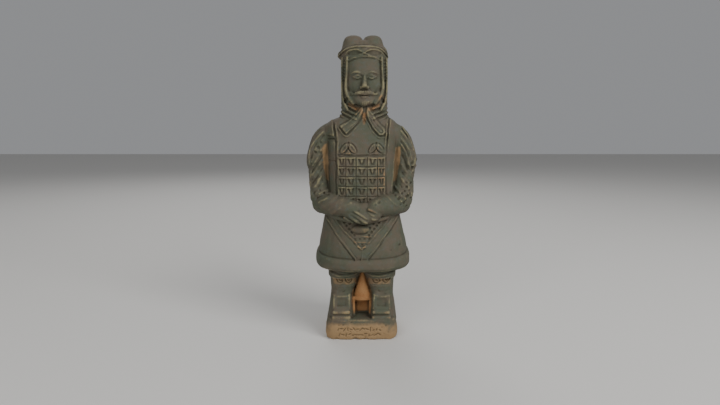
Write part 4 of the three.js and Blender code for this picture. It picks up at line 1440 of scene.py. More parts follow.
# ---------------------------------------------------------------- head, face and cap
@dataclass
class Face:
    """A calm, plain face in equal thirds from chin to cap, with a moustache and a short chin beard.

    Attributes:
        chin: Height of the chin.
        cap: Height of the cap's lower edge.
        x: Middle of the face.
        half: Half width at the cheekbones.
    """

    chin: float = CHIN_Z
    cap: float = CAP_Z
    x: float = HEAD_X
    half: float = 10.6

    def at(self, share: float) -> float:
        """Height at a share of the face, from the chin up."""
        return self.chin + share * (self.cap - self.chin)

    def build(self, layer: Layer) -> None:
        """Model the face on the head's layer."""
        nose_base, brow, eye, mouth = self.at(1 / 3), self.at(0.68), self.at(0.6), self.at(0.2)
        x = self.x
        skull = loft(
            (self.chin - 0.8, 3.8, 12.6, 2, x), (self.chin + 1.2, 6.2, 14.6, 2, x), (mouth, 9, 15.4, 2, x),
            (eye - 2.5, self.half + 0.5, 15.3, 2, x), (brow, self.half + 1.2, 15.4, 2, x),
            (self.cap + 2, self.half + 1.3, 14.6, 2, x), power=3.0, edge=1.6,
        )
        layer.add(skull, 0.5)
        nose = limb(
            (x, -15.2, brow - 0.4, 1.1, 1.1), (x, -16.4, eye - 1.4, 1.25, 1.5),
            (x, -17.4, nose_base + 1.7, 1.75, 1.8), end=0.9,
        )
        layer.add(nose, 1.5)
        for side in BOTH_SIDES:
            layer.add(Ball((x + side * 1.95, -15.9, nose_base + 1.2), (1.15, 1.3, 1.05)), 0.8)
            layer.cut(Ball((x + side * 1, -17.3, nose_base + 0.1), (0.6, 0.7, 0.4)), 0.4)
            self.eye(layer, side, eye, brow)
            layer.add(Ball((x + side * 6.4, -11.9, nose_base + 3), (3.2, 2.2, 2.6)), 2.4)
            whisker = limb(
                (0.5, -16.2, nose_base - 1.5, 0.8, 0.8), (3.4, -16, nose_base - 2.1, 1.15, 0.8),
                (6.9, -14.2, nose_base - 2.8, 0.8, 0.7), (9, -12.2, nose_base - 1.8, 0.4, 0.5), end=0.4,
                middle=x, mirror=side,
            )
            layer.add(whisker, 0.6)
            jaw = limb(
                (8.4, -9.6, mouth + 1, 1.6, 2.4), (4.2, -12.8, self.chin + 2.2, 1.6, 2.2), middle=x,
                mirror=side,
            )
            layer.add(jaw, 2)
        layer.add(Ball((x, -15.1, mouth + 0.8), (3.1, 1.5, 0.85)), 0.6)
        layer.add(Ball((x, -14.9, mouth - 0.95), (2.7, 1.6, 1)), 0.6)
        layer.add(Ball((x, -13.6, self.chin + 2), (3.8, 2.5, 2.6)), 1.6)

    def eye(self, layer: Layer, side: int, eye: float, brow: float) -> None:
        """One eye: its hollow, ball, both lids and the brow over it.

        Args:
            layer: The head's layer.
            side: -1 or 1.
            eye: Height of the eyes.
            brow: Height of the brows.
        """
        x = self.x
        layer.cut(Ball((x + side * 4.6, -17.2, eye + 0.3), (3.2, 1.8, 1.9)), 1.6)
        layer.add(Ball((x + side * 4.6, -13.9, eye), (2.5, 1.9, 1.5)), 0.5)
        for rise, thick in ((1, 0.5), (-1, 0.38)):
            lid = limb(
                (2.1, -15.2, eye - 0.1, 0.34, 0.5), (4.6, -15.75, eye + rise, thick, 0.55),
                (7.3, -14.3, eye + 0.15, 0.34, 0.5), end=0.4, middle=x, mirror=side,
            )
            layer.add(lid, 0.5)
        ridge = limb(
            (1.9, -15.4, brow - 0.3, 0.7, 0.7), (5, -15.5, brow + 0.8, 0.8, 0.75),
            (8.6, -13, brow - 0.1, 0.5, 0.6), end=0.6, middle=x, mirror=side,
        )
        layer.add(ridge, 1.3)

    def relief(self, board: Board, dies: Dies) -> None:
        """Fine lines of the face: mouth, pupils, whiskers and beard."""
        nose_base, eye, mouth = self.at(1 / 3), self.at(0.6), self.at(0.2)
        x = self.x
        low, high = mouth - 0.1, mouth + 0.05
        board.lines((0.55, -0.5, (-3.2, low), (-1.2, high), (1.2, high), (3.2, low)), x=x)
        for side in BOTH_SIDES:
            board.oval((x + side * 4.5, eye + 0.05), (0.7, 0.7), -0.28)
            board.lines(
                (0.5, -0.18, (7.4, eye + 1.9), (4.6, eye + 2.5), (2.4, eye + 1.5)),
                (0.7, -0.18, (2.9, nose_base + 1.2), (4.6, nose_base - 0.6)), x=x, side=side
            )
            for level in (-0.35, 0.45):
                dies.marks.row(
                    board, (x + side * 1.6, nose_base - 1.8 + level),
                    (x + side * 6.8, nose_base - 2.7 + level), count=4, half_length=0.95, half_width=0.3,
                    rise=0.26, turn=side * 30, seed=3
                )
        beard = [
            (x - 3.4, self.chin + 2.2), (x, self.chin + 3), (x + 3.4, self.chin + 2.2), (x, self.chin - 2)
        ]
        board.plate(beard, 0.3, 1.2)
        dies.marks.row(
            board, (x - 3, self.chin + 0.9), (x + 3, self.chin + 0.9), count=6, half_length=1.5,
            half_width=0.32, rise=0.22, turn=90, turn_slack=5, seed=5
        )


@dataclass
class Head:
    """The head with its cap, side knobs, plaited ties and the plait of hair behind.

    Attributes:
        half: Half width of the head.
        cap: Height of the cap's lower edge.
        face: The face.
    """

    half: float = 15.4
    cap: float = CAP_Z
    face: Face = field(default_factory=Face)

    CORDS: ClassVar[tuple[tuple[float, tuple[tuple[float, ...], ...]], ...]] = (
        (0.8, (
            (11, -12.6, 184.6, 0.6, 1.2), (11.3, -12.4, 176, 0.6, 1.2), (11.8, -12, 169, 0.85, 1.4),
            (11.7, -11.6, 164.4, 1.1, 1.6), (10.2, -11.6, 160, 1.2, 1.7), (7, -11.8, 155.6, 0.9, 1.4),
        )),
        (0.6, (
            (14.3, -8.4, 184.6, 0.7, 1.2), (14.5, -8, 172, 0.7, 1.2), (14.3, -8, 163, 0.8, 1.2),
            (13.4, -9.2, 157.4, 0.9, 1.4), (10.6, -10.6, 151.4, 0.8, 1.4),
        )),
    )

    def build(self, block: ClayBlock, dies: Dies, lumps: Grid) -> None:
        """Shape the head and press it onto the shoulders."""
        layer = Layer(block, (-19, -24, 147), (23, 22, 202))
        x = HEAD_X
        skull = loft(
            (149, self.half - 0.6, 9.4, 12.6, x), (158, self.half - 0.1, 10.8, 14.2, x),
            (168, self.half - 0.1, 11.2, 15.2, x), (176, self.half, 11.4, 15.6, x),
            (self.cap + 1, self.half - 0.1, 11.8, 14.8, x), (self.cap + 7, self.half - 1.2, 11.4, 12.4, x),
            (self.cap + 9.6, self.half - 3.2, 8.6, 9.6, x), power=3.4, edge=1.4,
        )
        layer.add(skull, 0)
        lining = loft(
            (157, 8.6, 12.2, 2, x), (163, 11.2, 13.2, 2, x), (172, 12, 13.7, 2, x),
            (self.cap + 1, 12, 13.7, 2, x), power=5.0,
        )
        layer.add(lining, 0.6)
        self.ties(layer)
        self.face.build(layer)
        self.cap_and_lobes(layer)
        plait = limb(
            (x, 12.6, 158, 5.6, 3.2), (x, 14.2, 170, 6.4, 3.4), (x, 13, self.cap + 3, 5.4, 3.2), steps=5,
        )
        layer.add(plait, 0.6)
        layer.clay += 0.07 * lumps[layer.window]
        layer.emboss(self.front_relief(layer, dies), self.back_relief(layer, dies), seam=-1)
        layer.press(0.6)

    def ties(self, layer: Layer) -> None:
        """Two cords on each side that run from the cap's band to the chin."""
        for side in BOTH_SIDES:
            for blend, cord in self.CORDS:
                layer.add(limb(*cord, middle=HEAD_X, mirror=side, steps=5, end=0.6), blend)

    def cap_and_lobes(self, layer: Layer) -> None:
        """The band round the brow, the two lobes of the cap and the knobs at its sides."""
        x, cap, middle = HEAD_X, self.cap, HEAD_X - 0.9
        band = loft(
            (cap - 1.2, 14.4, 13.6, 14.2, x), (cap + 0.4, 15, 14.9, 15.2, x),
            (cap + 3.6, 15.1, 14.9, 15, x), (cap + 6.8, 14.8, 13.8, 14, x),
            (cap + 8.6, 13.6, 11.4, 12.4, x), power=2.4, edge=0.8, drop=-0.06,
        )
        layer.add(band, 0.5)
        for side in BOTH_SIDES:
            lobe = loft(
                (cap + 4, 8, 10.2, 9.8, middle + side * 6.6),
                (HEIGHT - 7, 7.1, 9, 8.6, middle + side * 6.5),
                (HEIGHT - 3.6, 6.4, 7.8, 7.4, middle + side * 6.4),
                (HEIGHT - 1.3, 5.2, 6, 5.8, middle + side * 6.3),
                (HEIGHT - 0.1, 3.4, 4, 4, middle + side * 6.4), power=2.3, edge=1.2,
            )
            layer.add(lobe, 1.6)
            layer.add(Ball((middle - 0.2 + side * 14.4, -0.8, cap + 4), (2.1, 2.7, 2.6)), 1.2)
        bridge = loft(
            (cap + 4, 6.6, 10.3, 9.8, middle), (HEIGHT - 8, 5.6, 9.2, 8.8, middle),
            (HEIGHT - 4.6, 4.6, 7.8, 7.4, middle), (HEIGHT - 3.2, 3.4, 5.2, 5.2, middle), power=2.6,
            edge=0.8,
        )
        layer.add(bridge, 1.4)

    def front_relief(self, layer: Layer, dies: Dies) -> Board:
        """Relief of the cap's band, the plaited cords and the face."""
        board = layer.board()
        rim = [(-15.6, 186.8), (-13, 188.6), (-8.2, 190.3), (-2.8, 191.2), (2, 191.5)]
        rim += [(6.8, 191.2), (11.6, 189.9), (15, 188), (17, 186.2)]
        board.beside(rim, (0, 0, 0.75, 0.75), (0, 1.2, 0.7, -0.5), (0, -1.1, 0.6, -0.35), smooth=True)
        brow = [(-10.2, 182.2), (-8.2, 183.1), (-3.7, 184.5), (2.2, 185), (8.5, 184.1), (13.4, 182.2)]
        board.curve(brow, 0.65, 0.6)
        board.beside(brow[1:-1], (0, -1.2, 0.6, -0.3), smooth=True)
        for side in BOTH_SIDES:
            half = [(-13.2, 185.4), (-10.4, 188.3), (-6.4, 189.3), (-3, 188.6), (0, 187), (3.2, 185.6)]
            board.lines((0.6, 0.6, *half), x=1.7, side=-side)
            board.oval((1.7 + side * 6.6, 187), (4.3, 1.6), -0.6, turn=-side * 4, flat=True)
            board.oval((1.7 + side * 2.4, 189.4), (1.2, 0.6), -0.35)
            board.oval((1.7 + side * 1.8, 187.1), (0.9, 0.7), -0.45)
        board.curve([(0.7, 197.6), (0.8, 195.4), (1.2, 192.8)], 1.3, -0.35)
        x = HEAD_X
        for side in BOTH_SIDES:
            dies.marks.row(
                board, (x + side * 12.8, 183), (x + side * 13.1, 170.6), count=7, half_length=0.9,
                half_width=0.45, rise=0.45, turn=90 + side * 24, seed=2
            )
            dies.marks.row(
                board, (x + side * 14.5, 184), (x + side * 14.4, 170), count=9, half_length=0.9,
                half_width=0.26, rise=0.3, turn=side * 32, seed=4
            )
            board.oval((x + side * 12, 157.9), (1.1, 2.3), -0.7, turn=side * 32)
        self.face.relief(board, dies)
        return board

    def back_relief(self, layer: Layer, dies: Dies) -> Board:
        """Combed hair and the crossed plait."""
        board = layer.board()
        x = HEAD_X
        for side in BOTH_SIDES:
            for offset in (7.6, 9.4, 11.2, 13, 14.6):
                strand = (0.7, -0.32, (offset, 183), (offset + 0.4, 170), (offset - 0.6, 157))
                board.lines(strand, x=x, side=side)
            dies.marks.row(
                board, (x + side * 2.5, 183), (x + side * 2.4, 159.4), count=9, half_length=3,
                half_width=0.42, rise=0.5, turn=side * 34, seed=6
            )
        for z in (164.8, 176.2):
            board.lines((1.1, 0.5, (-5.6, z), (5.6, z)), x=x)
        board.lines((0.7, 0.5, (-14, 188.4), (0, 190.6), (14, 188.4)), x=x)
        board.lines((0.6, -0.35, (-14, 185), (0, 185.6), (14, 185)), x=x)
        return board


# ---------------------------------------------------------------- the skin of the block
class Skin:
    """The closed surface of a block, as points and quads."""

    def __init__(self, block: ClayBlock) -> None:
        """Find the surface.

        Args:
            block: The finished block.
        """
        self.block = block
        self.points, self.quads = self.surface()
        self.drop_crumbs()
        self.settle(2)

    def surface(self) -> tuple[Grid, Grid]:
        """One point in each cell that the surface crosses, and one quad for each crossed grid edge."""
        clay = self.block.clay
        inside = clay < 0
        count = np.zeros(tuple(n - 1 for n in clay.shape), dtype=np.uint8)
        for corner in CORNERS:
            count += inside[tuple(slice(ahead, ahead + size) for ahead, size in zip(corner, count.shape))]
        cells = np.argwhere((count > 0) & (count < 8))
        index = np.full(count.shape, -1, dtype=np.int32)
        index[tuple(cells.T)] = np.arange(len(cells), dtype=np.int32)
        total = np.zeros((len(cells), 3), dtype=np.float64)
        hits = np.zeros(len(cells), dtype=np.float64)
        corners = {corner: clay[tuple((cells + corner).T)] for corner in CORNERS}
        for axis in range(3):
            for corner, value in corners.items():
                if corner[axis]:
                    continue
                other = tuple(1 if i == axis else c for i, c in enumerate(corner))
                ahead = corners[other]
                crossed = (value < 0) != (ahead < 0)
                share = np.where(crossed, value / np.where(crossed, value - ahead, 1.0), 0.0)
                for i in range(3):
                    total[:, i] += np.where(crossed, share if i == axis else corner[i], 0.0)
                hits += crossed
        spots = cells + total / hits[:, None]
        low = np.array([axis[0] for axis in self.block.axes])
        points = low + spots * np.array(self.block.step)
        quads = []
        for axis in range(3):
            front = [slice(None)] * 3
            back = [slice(None)] * 3
            front[axis], back[axis] = slice(0, -1), slice(1, None)
            a, b = inside[tuple(front)], inside[tuple(back)]
            first, second = (axis + 1) % 3, (axis + 2) % 3
            for flip in (False, True):
                edges = np.argwhere((~a & b) if flip else (a & ~b))
                keep = (edges[:, first] > 0) & (edges[:, second] > 0)
                keep &= (edges[:, first] < clay.shape[first] - 1) & (
                    edges[:, second] < clay.shape[second] - 1
                )
                edges = edges[keep]
                ring = []
                for u, v in ((-1, -1), (0, -1), (0, 0), (-1, 0)):
                    cell = edges.copy()
                    cell[:, first] += u
                    cell[:, second] += v
                    ring.append(index[tuple(cell.T)])
                quads.append(np.stack(ring[::-1] if flip else ring, axis=1))
        return points, np.concatenate(quads)

    def drop_crumbs(self) -> None:
        """Keep the largest connected surface alone."""
        label = np.arange(len(self.points))
        ends = np.concatenate([self.quads[:, [i, (i + 1) % 4]] for i in range(4)])
        while True:
            low = np.minimum(label[ends[:, 0]], label[ends[:, 1]])
            spread = label.copy()
            np.minimum.at(spread, ends[:, 0], low)
            np.minimum.at(spread, ends[:, 1], low)
            spread = spread[spread]
            if np.array_equal(spread, label):
                break
            label = spread
        kept = label == np.bincount(label).argmax()
        LOG.info("crumbs dropped: %d of %d points", int((~kept).sum()), len(kept))
        number = np.cumsum(kept) - 1
        self.quads = number[self.quads[kept[self.quads[:, 0]]]]
        self.points = self.points[kept]

    def slope(self, points: Grid) -> Grid:
        """Direction away from the clay at each point, not unit length."""
        step = np.array(self.block.step) * 0.6
        parts = []
        for axis in range(3):
            shift = np.zeros(3)
            shift[axis] = step[axis]
            ahead = self.block.read(self.block.clay, points + shift)
            behind = self.block.read(self.block.clay, points - shift)
            parts.append((ahead - behind) / (2 * step[axis]))
        return np.stack(parts, axis=1)

    def settle(self, rounds: int) -> None:
        """Move the points onto the surface itself."""
        for _ in range(rounds):
            value = self.block.read(self.block.clay, self.points)
            slope = self.slope(self.points)
            square = np.maximum((slope * slope).sum(axis=1), 0.25)
            move = -(value / square)[:, None] * slope
            self.points = self.points + np.clip(move, -0.2, 0.2)

    def mesh(self, name: str, most: int) -> Mesh:
        """The skin as a mesh in metres, thinned where it is plain.

        Args:
            name: Name of the mesh.
            most: Largest number of triangles it may have.

        Returns:
            The mesh.
        """
        mesh = bpy.data.meshes.new(name)
        mesh.vertices.add(len(self.points))
        mesh.vertices.foreach_set("co", (self.points * MM).astype(np.float32).ravel())
        mesh.loops.add(self.quads.size)
        mesh.loops.foreach_set("vertex_index", self.quads.astype(np.int32).ravel())
        mesh.polygons.add(len(self.quads))
        mesh.polygons.foreach_set("loop_start", np.arange(0, self.quads.size, 4, dtype=np.int32))
        mesh.update(calc_edges=True)
        mesh.validate()

        def prepare(modifier: bpy.types.Modifier) -> None:
            modifier.ratio = min(1.0, most / (2.0 * len(self.quads)))
            modifier.use_collapse_triangulate = True

        thinned = modified(mesh, "DECIMATE", prepare)
        thinned.name = name
        return thinned


def blurred(grid: Grid, radii: tuple[int, int, int]) -> Grid:
    """A grid's values averaged over a small box, twice.

    Args:
        grid: The values.
        radii: Reach of the box along each axis, in grid steps.

    Returns:
        The averaged values.
    """
    result = np.clip(grid, -3.0, 3.0)
    for _ in range(2):
        for axis, radius in enumerate(radii):
            padding = [(radius, radius) if i == axis else (0, 0) for i in range(3)]
            padded = np.pad(result, padding, mode="edge")
            total = np.zeros_like(result)
            for shift in range(2 * radius + 1):
                window = [slice(None)] * 3
                window[axis] = slice(shift, shift + result.shape[axis])
                total += padded[tuple(window)]
            result = total / (2 * radius + 1)
    return result


# ---------------------------------------------------------------- finishes
def blank(name: str) -> tuple[bpy.types.Material, Node]:
    """A new material and its shader node."""
    material = bpy.data.materials.new(name)
    material.use_nodes = True
    return material, material.node_tree.nodes["Principled BSDF"]


Colour = tuple[float, float, float, float]


def shade(red: int, green: int, blue: int) -> Colour:
    """A colour given as it looks on a screen, as the shader wants it."""
    parts = []
    for part in (red, green, blue):
        value = part / 255
        parts.append(value / 12.92 if value <= 0.04045 else ((value + 0.055) / 1.055) ** 2.4)
    return (*parts, 1.0)


class Mark(Enum):
    """What the figure's points say about their surface."""

    # The first two mark ridges that are worn and carry painted highlight, and hollows that hold dirt and
    # painted shade.
    WEAR = "wear"
    GRIME = "grime"
    BARE = "bare"
    DUST = "dust"
    BLUSH = "blush"


class ShadeGroup(Graph):
    """A shader node group with named inputs and outputs."""

    def __init__(self, name: str, inputs: dict[str, object], outputs: dict[str, str]) -> None:
        """Start the group.

        Args:
            name: Name of the group.
            inputs: Its inputs with their usual values: a number or a colour.
            outputs: Its outputs with their socket types.
        """
        super().__init__(bpy.data.node_groups.new(name, "ShaderNodeTree"))
        for key, value in inputs.items():
            kind = "NodeSocketColor" if isinstance(value, tuple) else "NodeSocketFloat"
            self.tree.interface.new_socket(key, in_out="INPUT", socket_type=kind).default_value = value
        for key, kind in outputs.items():
            self.tree.interface.new_socket(key, in_out="OUTPUT", socket_type=kind)
        self.given = self.tree.nodes.new("NodeGroupInput").outputs
        self.out = self.tree.nodes.new("NodeGroupOutput").inputs

    def noise(self, scale: object, detail: float, rough: float = 0.6) -> Socket:
        """Noise on the object's own coordinates."""
        place = self.node("ShaderNodeTexCoord").outputs["Object"]
        settings = {"Vector": place, "Scale": scale, "Detail": detail, "Roughness": rough}
        return self.node("ShaderNodeTexNoise", settings).outputs["Fac"]

    def give(self, name: str, value: Socket) -> None:
        """Link a value to an output."""
        self.tree.links.new(value, self.out[name])


class NoisyMask(ShadeGroup):
    """A mask from an attribute broken up by noise: worn ridges with painted highlight, dirt with painted
    shade in the hollows, bare clay, dust or blush.
    """

    def __init__(self) -> None:
        """Build the group."""
        inputs = {
            "Amount": 0.0, "Start": 0.2, "Softness": 0.3, "Breakup": 0.5, "Scale": 900.0, "Patchiness": 0.0
        }
        super().__init__("worn_mask", inputs, {"Mask": "NodeSocketFloat"})
        spread = self.less(self.noise(self.given["Scale"], 4.0), 0.5)
        patch = self.ramp(self.noise(130.0, 3.0), 0.34, 0.62, "LINEAR")
        lack = self.times(self.less(1.0, patch), self.given["Patchiness"])
        amount = self.times(self.given["Amount"], self.less(1.0, lack))
        shifted = self.add(amount, self.times(spread, self.given["Breakup"]))
        rise = self.over(self.less(shifted, self.given["Start"]), self.given["Softness"])
        self.give("Mask", self.ramp(rise, 0.0, 1.0))


class MottledCoat(ShadeGroup):
    """A thin coat whose colour drifts between three tones over the piece."""

    def __init__(self) -> None:
        """Build the group."""
        inputs = {
            "Tone": (0.2, 0.2, 0.2, 1.0), "Drift": (0.2, 0.2, 0.2, 1.0), "Speck": (0.2, 0.2, 0.2, 1.0),
            "Patch Scale": 90.0, "Speck Scale": 1400.0
        }
        super().__init__("mottled_coat", inputs, {"Color": "NodeSocketColor", "Value": "NodeSocketFloat"})
        patch = self.noise(self.given["Patch Scale"], 5.0, 0.62)
        share = self.ramp(patch, 0.36, 0.66)
        mixed = self.node(
            "ShaderNodeMix", {0: share, 6: self.given["Tone"], 7: self.given["Drift"]}, data_type="RGBA"
        )
        speck = self.noise(self.given["Speck Scale"], 3.0, 0.7)
        spots = self.ramp(speck, 0.52, 0.76, "LINEAR", (0.0, 0.75))
        last = self.node(
            "ShaderNodeMix", {0: spots, 6: mixed.outputs[2], 7: self.given["Speck"]}, data_type="RGBA"
        )
        self.give("Color", last.outputs[2])
        self.give("Value", patch)


class ClayGrain(ShadeGroup):
    """Height of fired clay's fine grain and small pits."""

    def __init__(self) -> None:
        """Build the group."""
        inputs = {"Grain Scale": 2600.0, "Pit Scale": 800.0, "Pit Depth": 0.6}
        super().__init__("clay_grain", inputs, {"Height": "NodeSocketFloat", "Pits": "NodeSocketFloat"})
        grain = self.noise(self.given["Grain Scale"], 4.0, 0.65)
        coarse = self.noise(self.given["Pit Scale"], 3.0, 0.5)
        pits = self.ramp(coarse, 0.3, 0.4, ends=(1.0, 0.0))
        sunk = self.times(pits, self.given["Pit Depth"])
        lift = self.add(self.times(grain, 0.5), self.times(coarse, 0.6))
        self.give("Height", self.less(lift, sunk))
        self.give("Pits", pits)


@dataclass(frozen=True)
class SlippedClay:
    """Orange fired clay under a grey-green slip that is rubbed and carries painted highlight on the ridges,
    and is dirty and carries painted shade in the hollows.

    Attributes:
        slip: Main tone of the slip.
        slip_drift: The tone it drifts to in patches.
        slip_speck: Colour of its fine specks.
        rub_and_highlight: The light tone of the ridges: the slip rubbed thin there, and painted highlight.
        clay: The bare clay where it is sheltered.
        clay_drift: The tone the bare clay drifts to.
        clay_speck: Colour of the bare clay's specks.
        dusty: The bare clay round the base, paler with handling.
        blush: What shows through the slip where it is rubbed to the clay.
        grime: The dark tone of the hollows: settled dirt, and painted shade.
        roughness: Roughness of the whole surface.
    """

    slip: Colour = shade(75, 78, 63)
    slip_drift: Colour = shade(89, 80, 67)
    slip_speck: Colour = shade(80, 87, 82)
    rub_and_highlight: Colour = shade(128, 121, 92)
    clay: Colour = shade(154, 114, 74)
    clay_drift: Colour = shade(142, 98, 58)
    clay_speck: Colour = shade(122, 84, 52)
    dusty: Colour = shade(144, 118, 84)
    blush: Colour = shade(150, 118, 82)
    grime: Colour = shade(48, 44, 30)
    roughness: float = 0.78

    def material(self) -> bpy.types.Material:
        """Build the material."""
        material, shader = blank("slipped_clay")
        graph = Graph(material.node_tree)
        link = material.node_tree.links.new
        noisy, coat, grain = NoisyMask().tree, MottledCoat().tree, ClayGrain().tree

        def group(tree: bpy.types.NodeTree, inputs: dict[str, object]) -> Node:
            return graph.node("ShaderNodeGroup", inputs, node_tree=tree)

        def mask(which: Mark, *values: float) -> Socket:
            amount = graph.node("ShaderNodeAttribute", attribute_name=which.value).outputs["Fac"]
            named = dict(zip(("Start", "Softness", "Breakup", "Scale", "Patchiness"), values))
            return group(noisy, {"Amount": amount, **named}).outputs["Mask"]

        def mix(share: Socket, under: object, over: object) -> Socket:
            return graph.node("ShaderNodeMix", {0: share, 6: under, 7: over}, data_type="RGBA").outputs[2]

        tones = {"Tone": self.slip, "Drift": self.slip_drift, "Speck": self.slip_speck}
        slip = group(coat, {**tones, "Patch Scale": 80.0, "Speck Scale": 480.0})
        tones = {"Tone": self.clay, "Drift": self.clay_drift, "Speck": self.clay_speck}
        clay = group(coat, {**tones, "Patch Scale": 150.0})
        # The ridges' light tone is wear with painted highlight; the hollows' dark tone is dirt with painted
        # shade.
        ridge_wear_and_highlight = mask(Mark.WEAR, 0.3, 1.0, 0.8, 900.0, 0.6)
        hollow_dirt_and_shade = mask(Mark.GRIME, 0.3, 0.8, 0.4, 600.0)
        naked = mask(Mark.BARE, 0.15, 0.7, 0.65, 420.0)
        warm = mask(Mark.BLUSH, 0.3, 0.5, 0.8, 400.0)
        pale = mask(Mark.DUST, 0.2, 0.6, 0.5, 300.0)
        ground = mix(pale, clay.outputs["Color"], self.dusty)
        colour = mix(ridge_wear_and_highlight, slip.outputs["Color"], mix(warm, self.rub_and_highlight, self.blush))
        colour = mix(naked, colour, ground)
        colour = mix(graph.times(hollow_dirt_and_shade, 0.6), colour, self.grime)
        link(colour, shader.inputs["Base Color"])
        texture = group(grain, {})
        pitted = graph.times(texture.outputs["Pits"], 0.12)
        link(graph.add(pitted, self.roughness, clamp=True), shader.inputs["Roughness"])
        bump = graph.node(
            "ShaderNodeBump", {"Strength": 0.35, "Distance": 0.00025, "Height": texture.outputs["Height"]}
        )
        link(bump.outputs["Normal"], shader.inputs["Normal"])
        shader.inputs["Specular IOR Level"].default_value = 0.3
        return material


@dataclass(frozen=True)
class PlainFinish:
    """A plain matt finish for the floor and for dies.

    Attributes:
        name: Name of the material.
        colour: Its colour.
        roughness: Its roughness.
    """

    name: str
    colour: Colour
    roughness: float = 0.9

    def material(self) -> bpy.types.Material:
        """Build the material."""
        material, shader = blank(self.name)
        shader.inputs["Base Color"].default_value = self.colour
        shader.inputs["Roughness"].default_value = self.roughness
        return material


# ---------------------------------------------------------------- the figure and its studio
@dataclass
class Warrior:
    """The whole figure: its sub-assemblies, the block they are modelled in and the finish.

    Attributes:
        step: Grid spacing of the block in millimetres.
        triangles: Largest number of triangles of the finished piece.
    """

    step: Point = (0.36, 0.5, 0.36)
    triangles: int = 192000
    base: Base = field(default_factory=Base)
    legs: Legs = field(default_factory=Legs)
    robe: Robe = field(default_factory=Robe)
    scarf: Scarf = field(default_factory=Scarf)
    sleeves: Sleeves = field(default_factory=Sleeves)
    hands: Hands = field(default_factory=Hands)
    head: Head = field(default_factory=Head)
    finish: SlippedClay = field(default_factory=SlippedClay)

    # Each bare place is a range of Y and an outline in X and Z: the hollow between the legs, the two slots
    # beside the chest, and the throat with the undersides of the scarf.
    BARE_PLACES: ClassVar[tuple[tuple[float, float, tuple[Spot, ...]], ...]] = (
        (
            -16.8, 0,
            (
                (0.2, 46.8), (-2.4, 38.6), (-6.2, 31), (-6.6, 24.6), (-5.6, 15.2), (6, 15.2), (6.8, 25.4),
                (6.6, 31), (4, 38.6)
            )
        ),
        (
            -13, 2,
            (
                (-26.2, 127.2), (-24.6, 129.4), (-22.6, 130.4), (-22.2, 118), (-21.8, 105.6),
                (-23.4, 106.6), (-25, 114)
            )
        ),
        (
            -13, 2,
            ((22.6, 127.4), (25.6, 128), (25.4, 119), (22.8, 106), (20.8, 104.8), (21.4, 112), (22, 120))
        ),
        (
            -14.6, -6,
            (
                (0, 153), (0.2, 148), (1, 142.4), (2.2, 142.4), (3.4, 148), (3.8, 153), (8, 154.6),
                (12.4, 157), (12, 154.2), (7.6, 151.2), (1.8, 150.2), (-4, 151.2), (-8.6, 154.2), (-9, 157)
            )
        )
    )
    # Each glow is a middle in X and Z, its half sizes and its strength.
    GLOWS: ClassVar[tuple[tuple[float, ...], ...]] = (
        (12, 108, 6, 10, 0.9), (-26, 118, 3, 14, 0.6), (26, 121, 4, 10, 0.9), (17, 83, 6, 4, 1),
        (-14, 85, 8, 3, 0.9), (7, 88.6, 5, 3, 0.8), (-9, 125, 7, 5, 0.6), (10, 125, 7, 5, 0.6),
        (1, 151, 9, 4, 0.7), (13, 159, 3, 4, 0.8), (0, 70, 10, 9, 0.9)
    )

    def build(self) -> bpy.types.Object:
        """Model, skin and dress the figure.

        Returns:
            The finished piece.
        """
        block = ClayBlock((-39.0, -35.0, -1.5), (39.0, 29.0, 202.0), self.step)
        lumps, crumple = unevenness(block, 3.4, 7), unevenness(block, 2.2, 23)
        die_clay = PlainFinish("die_clay", shade(150, 150, 150)).material()
        dies = Dies(PlateDie(die_clay), MarkDie(die_clay))
        self.base.build(block, dies, lumps)
        self.legs.build(block, lumps)
        self.robe.build(block, dies, lumps)
        self.scarf.build(block, lumps)
        self.sleeves.build(block, lumps, crumple)
        self.hands.build(block, lumps)
        self.head.build(block, dies, lumps)
        block.clay = np.maximum(block.clay, -block.axes[2][None, None, :])
        LOG.info("block modelled: %s", block.clay.shape)
        skin = Skin(block)
        mesh = skin.mesh("clay_figure", self.triangles)
        self.mark(mesh, block, lumps)
        mesh.materials.clear()
        mesh.materials.append(self.finish.material())
        mesh.shade_smooth()
        piece = placed("clay_figure", mesh)
        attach(piece, "root")
        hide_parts("warrior_statue")
        LOG.info("clay_figure: %d triangles", len(mesh.polygons))
        return piece

    def mark(self, mesh: Mesh, block: ClayBlock, lumps: Grid) -> None:
        """Give the mesh the attributes that its finish reads.

        Args:
            mesh: The finished mesh, in metres.
            block: The block it was made from.
            lumps: Random values on the block, for uneven edges.
        """
        points = np.empty(len(mesh.vertices) * 3, dtype=np.float32)
        mesh.vertices.foreach_get("co", points)
        points = points.reshape(-1, 3) / MM
        reaches = ((0.2, (2, 1, 2)), (0.9, (5, 4, 5)), (2.4, (10, 7, 10)))
        fine, broad, wide = (block.read(blurred(block.clay, radii), points) / unit for unit, radii in reaches)
        # Convex places take the light rubbed tone: partly real wear of the slip, partly painted highlight
        # spread wide over the ridges.
        wear = np.clip(fine, 0, 1.2) * 0.5 + np.clip(broad, 0, 1) * 0.5 + np.clip(wide, 0, 1) * 0.35
        # Concave places take the dark tone: partly settled dirt, partly painted shade in the creases and
        # recesses.
        grime = np.clip(-fine, 0, 1.2) * 0.8 + np.clip(-broad, 0, 1) * 0.6
        x, y, z = points.T
        wobble = block.read(lumps, points)
        bare, blush = self.bare_places(x, y, z, wobble)
        knot = 0.3 * np.exp(-((x / 9.0) ** 2 + ((z - 72.0) / 8.0) ** 2))
        wear += (y < -10) * (knot + 0.14 * (np.abs(x) < 15.5) * (z > 92) * (z < 122))
        # Painted highlight: a light band along the two bars across the left boot's toe.
        for height in (14.6, 18.2):
            wear += 0.8 * (y < -18) * np.exp(-(((x + 12.7) / 7.5) ** 2 + ((z - height) / 1.6) ** 2))
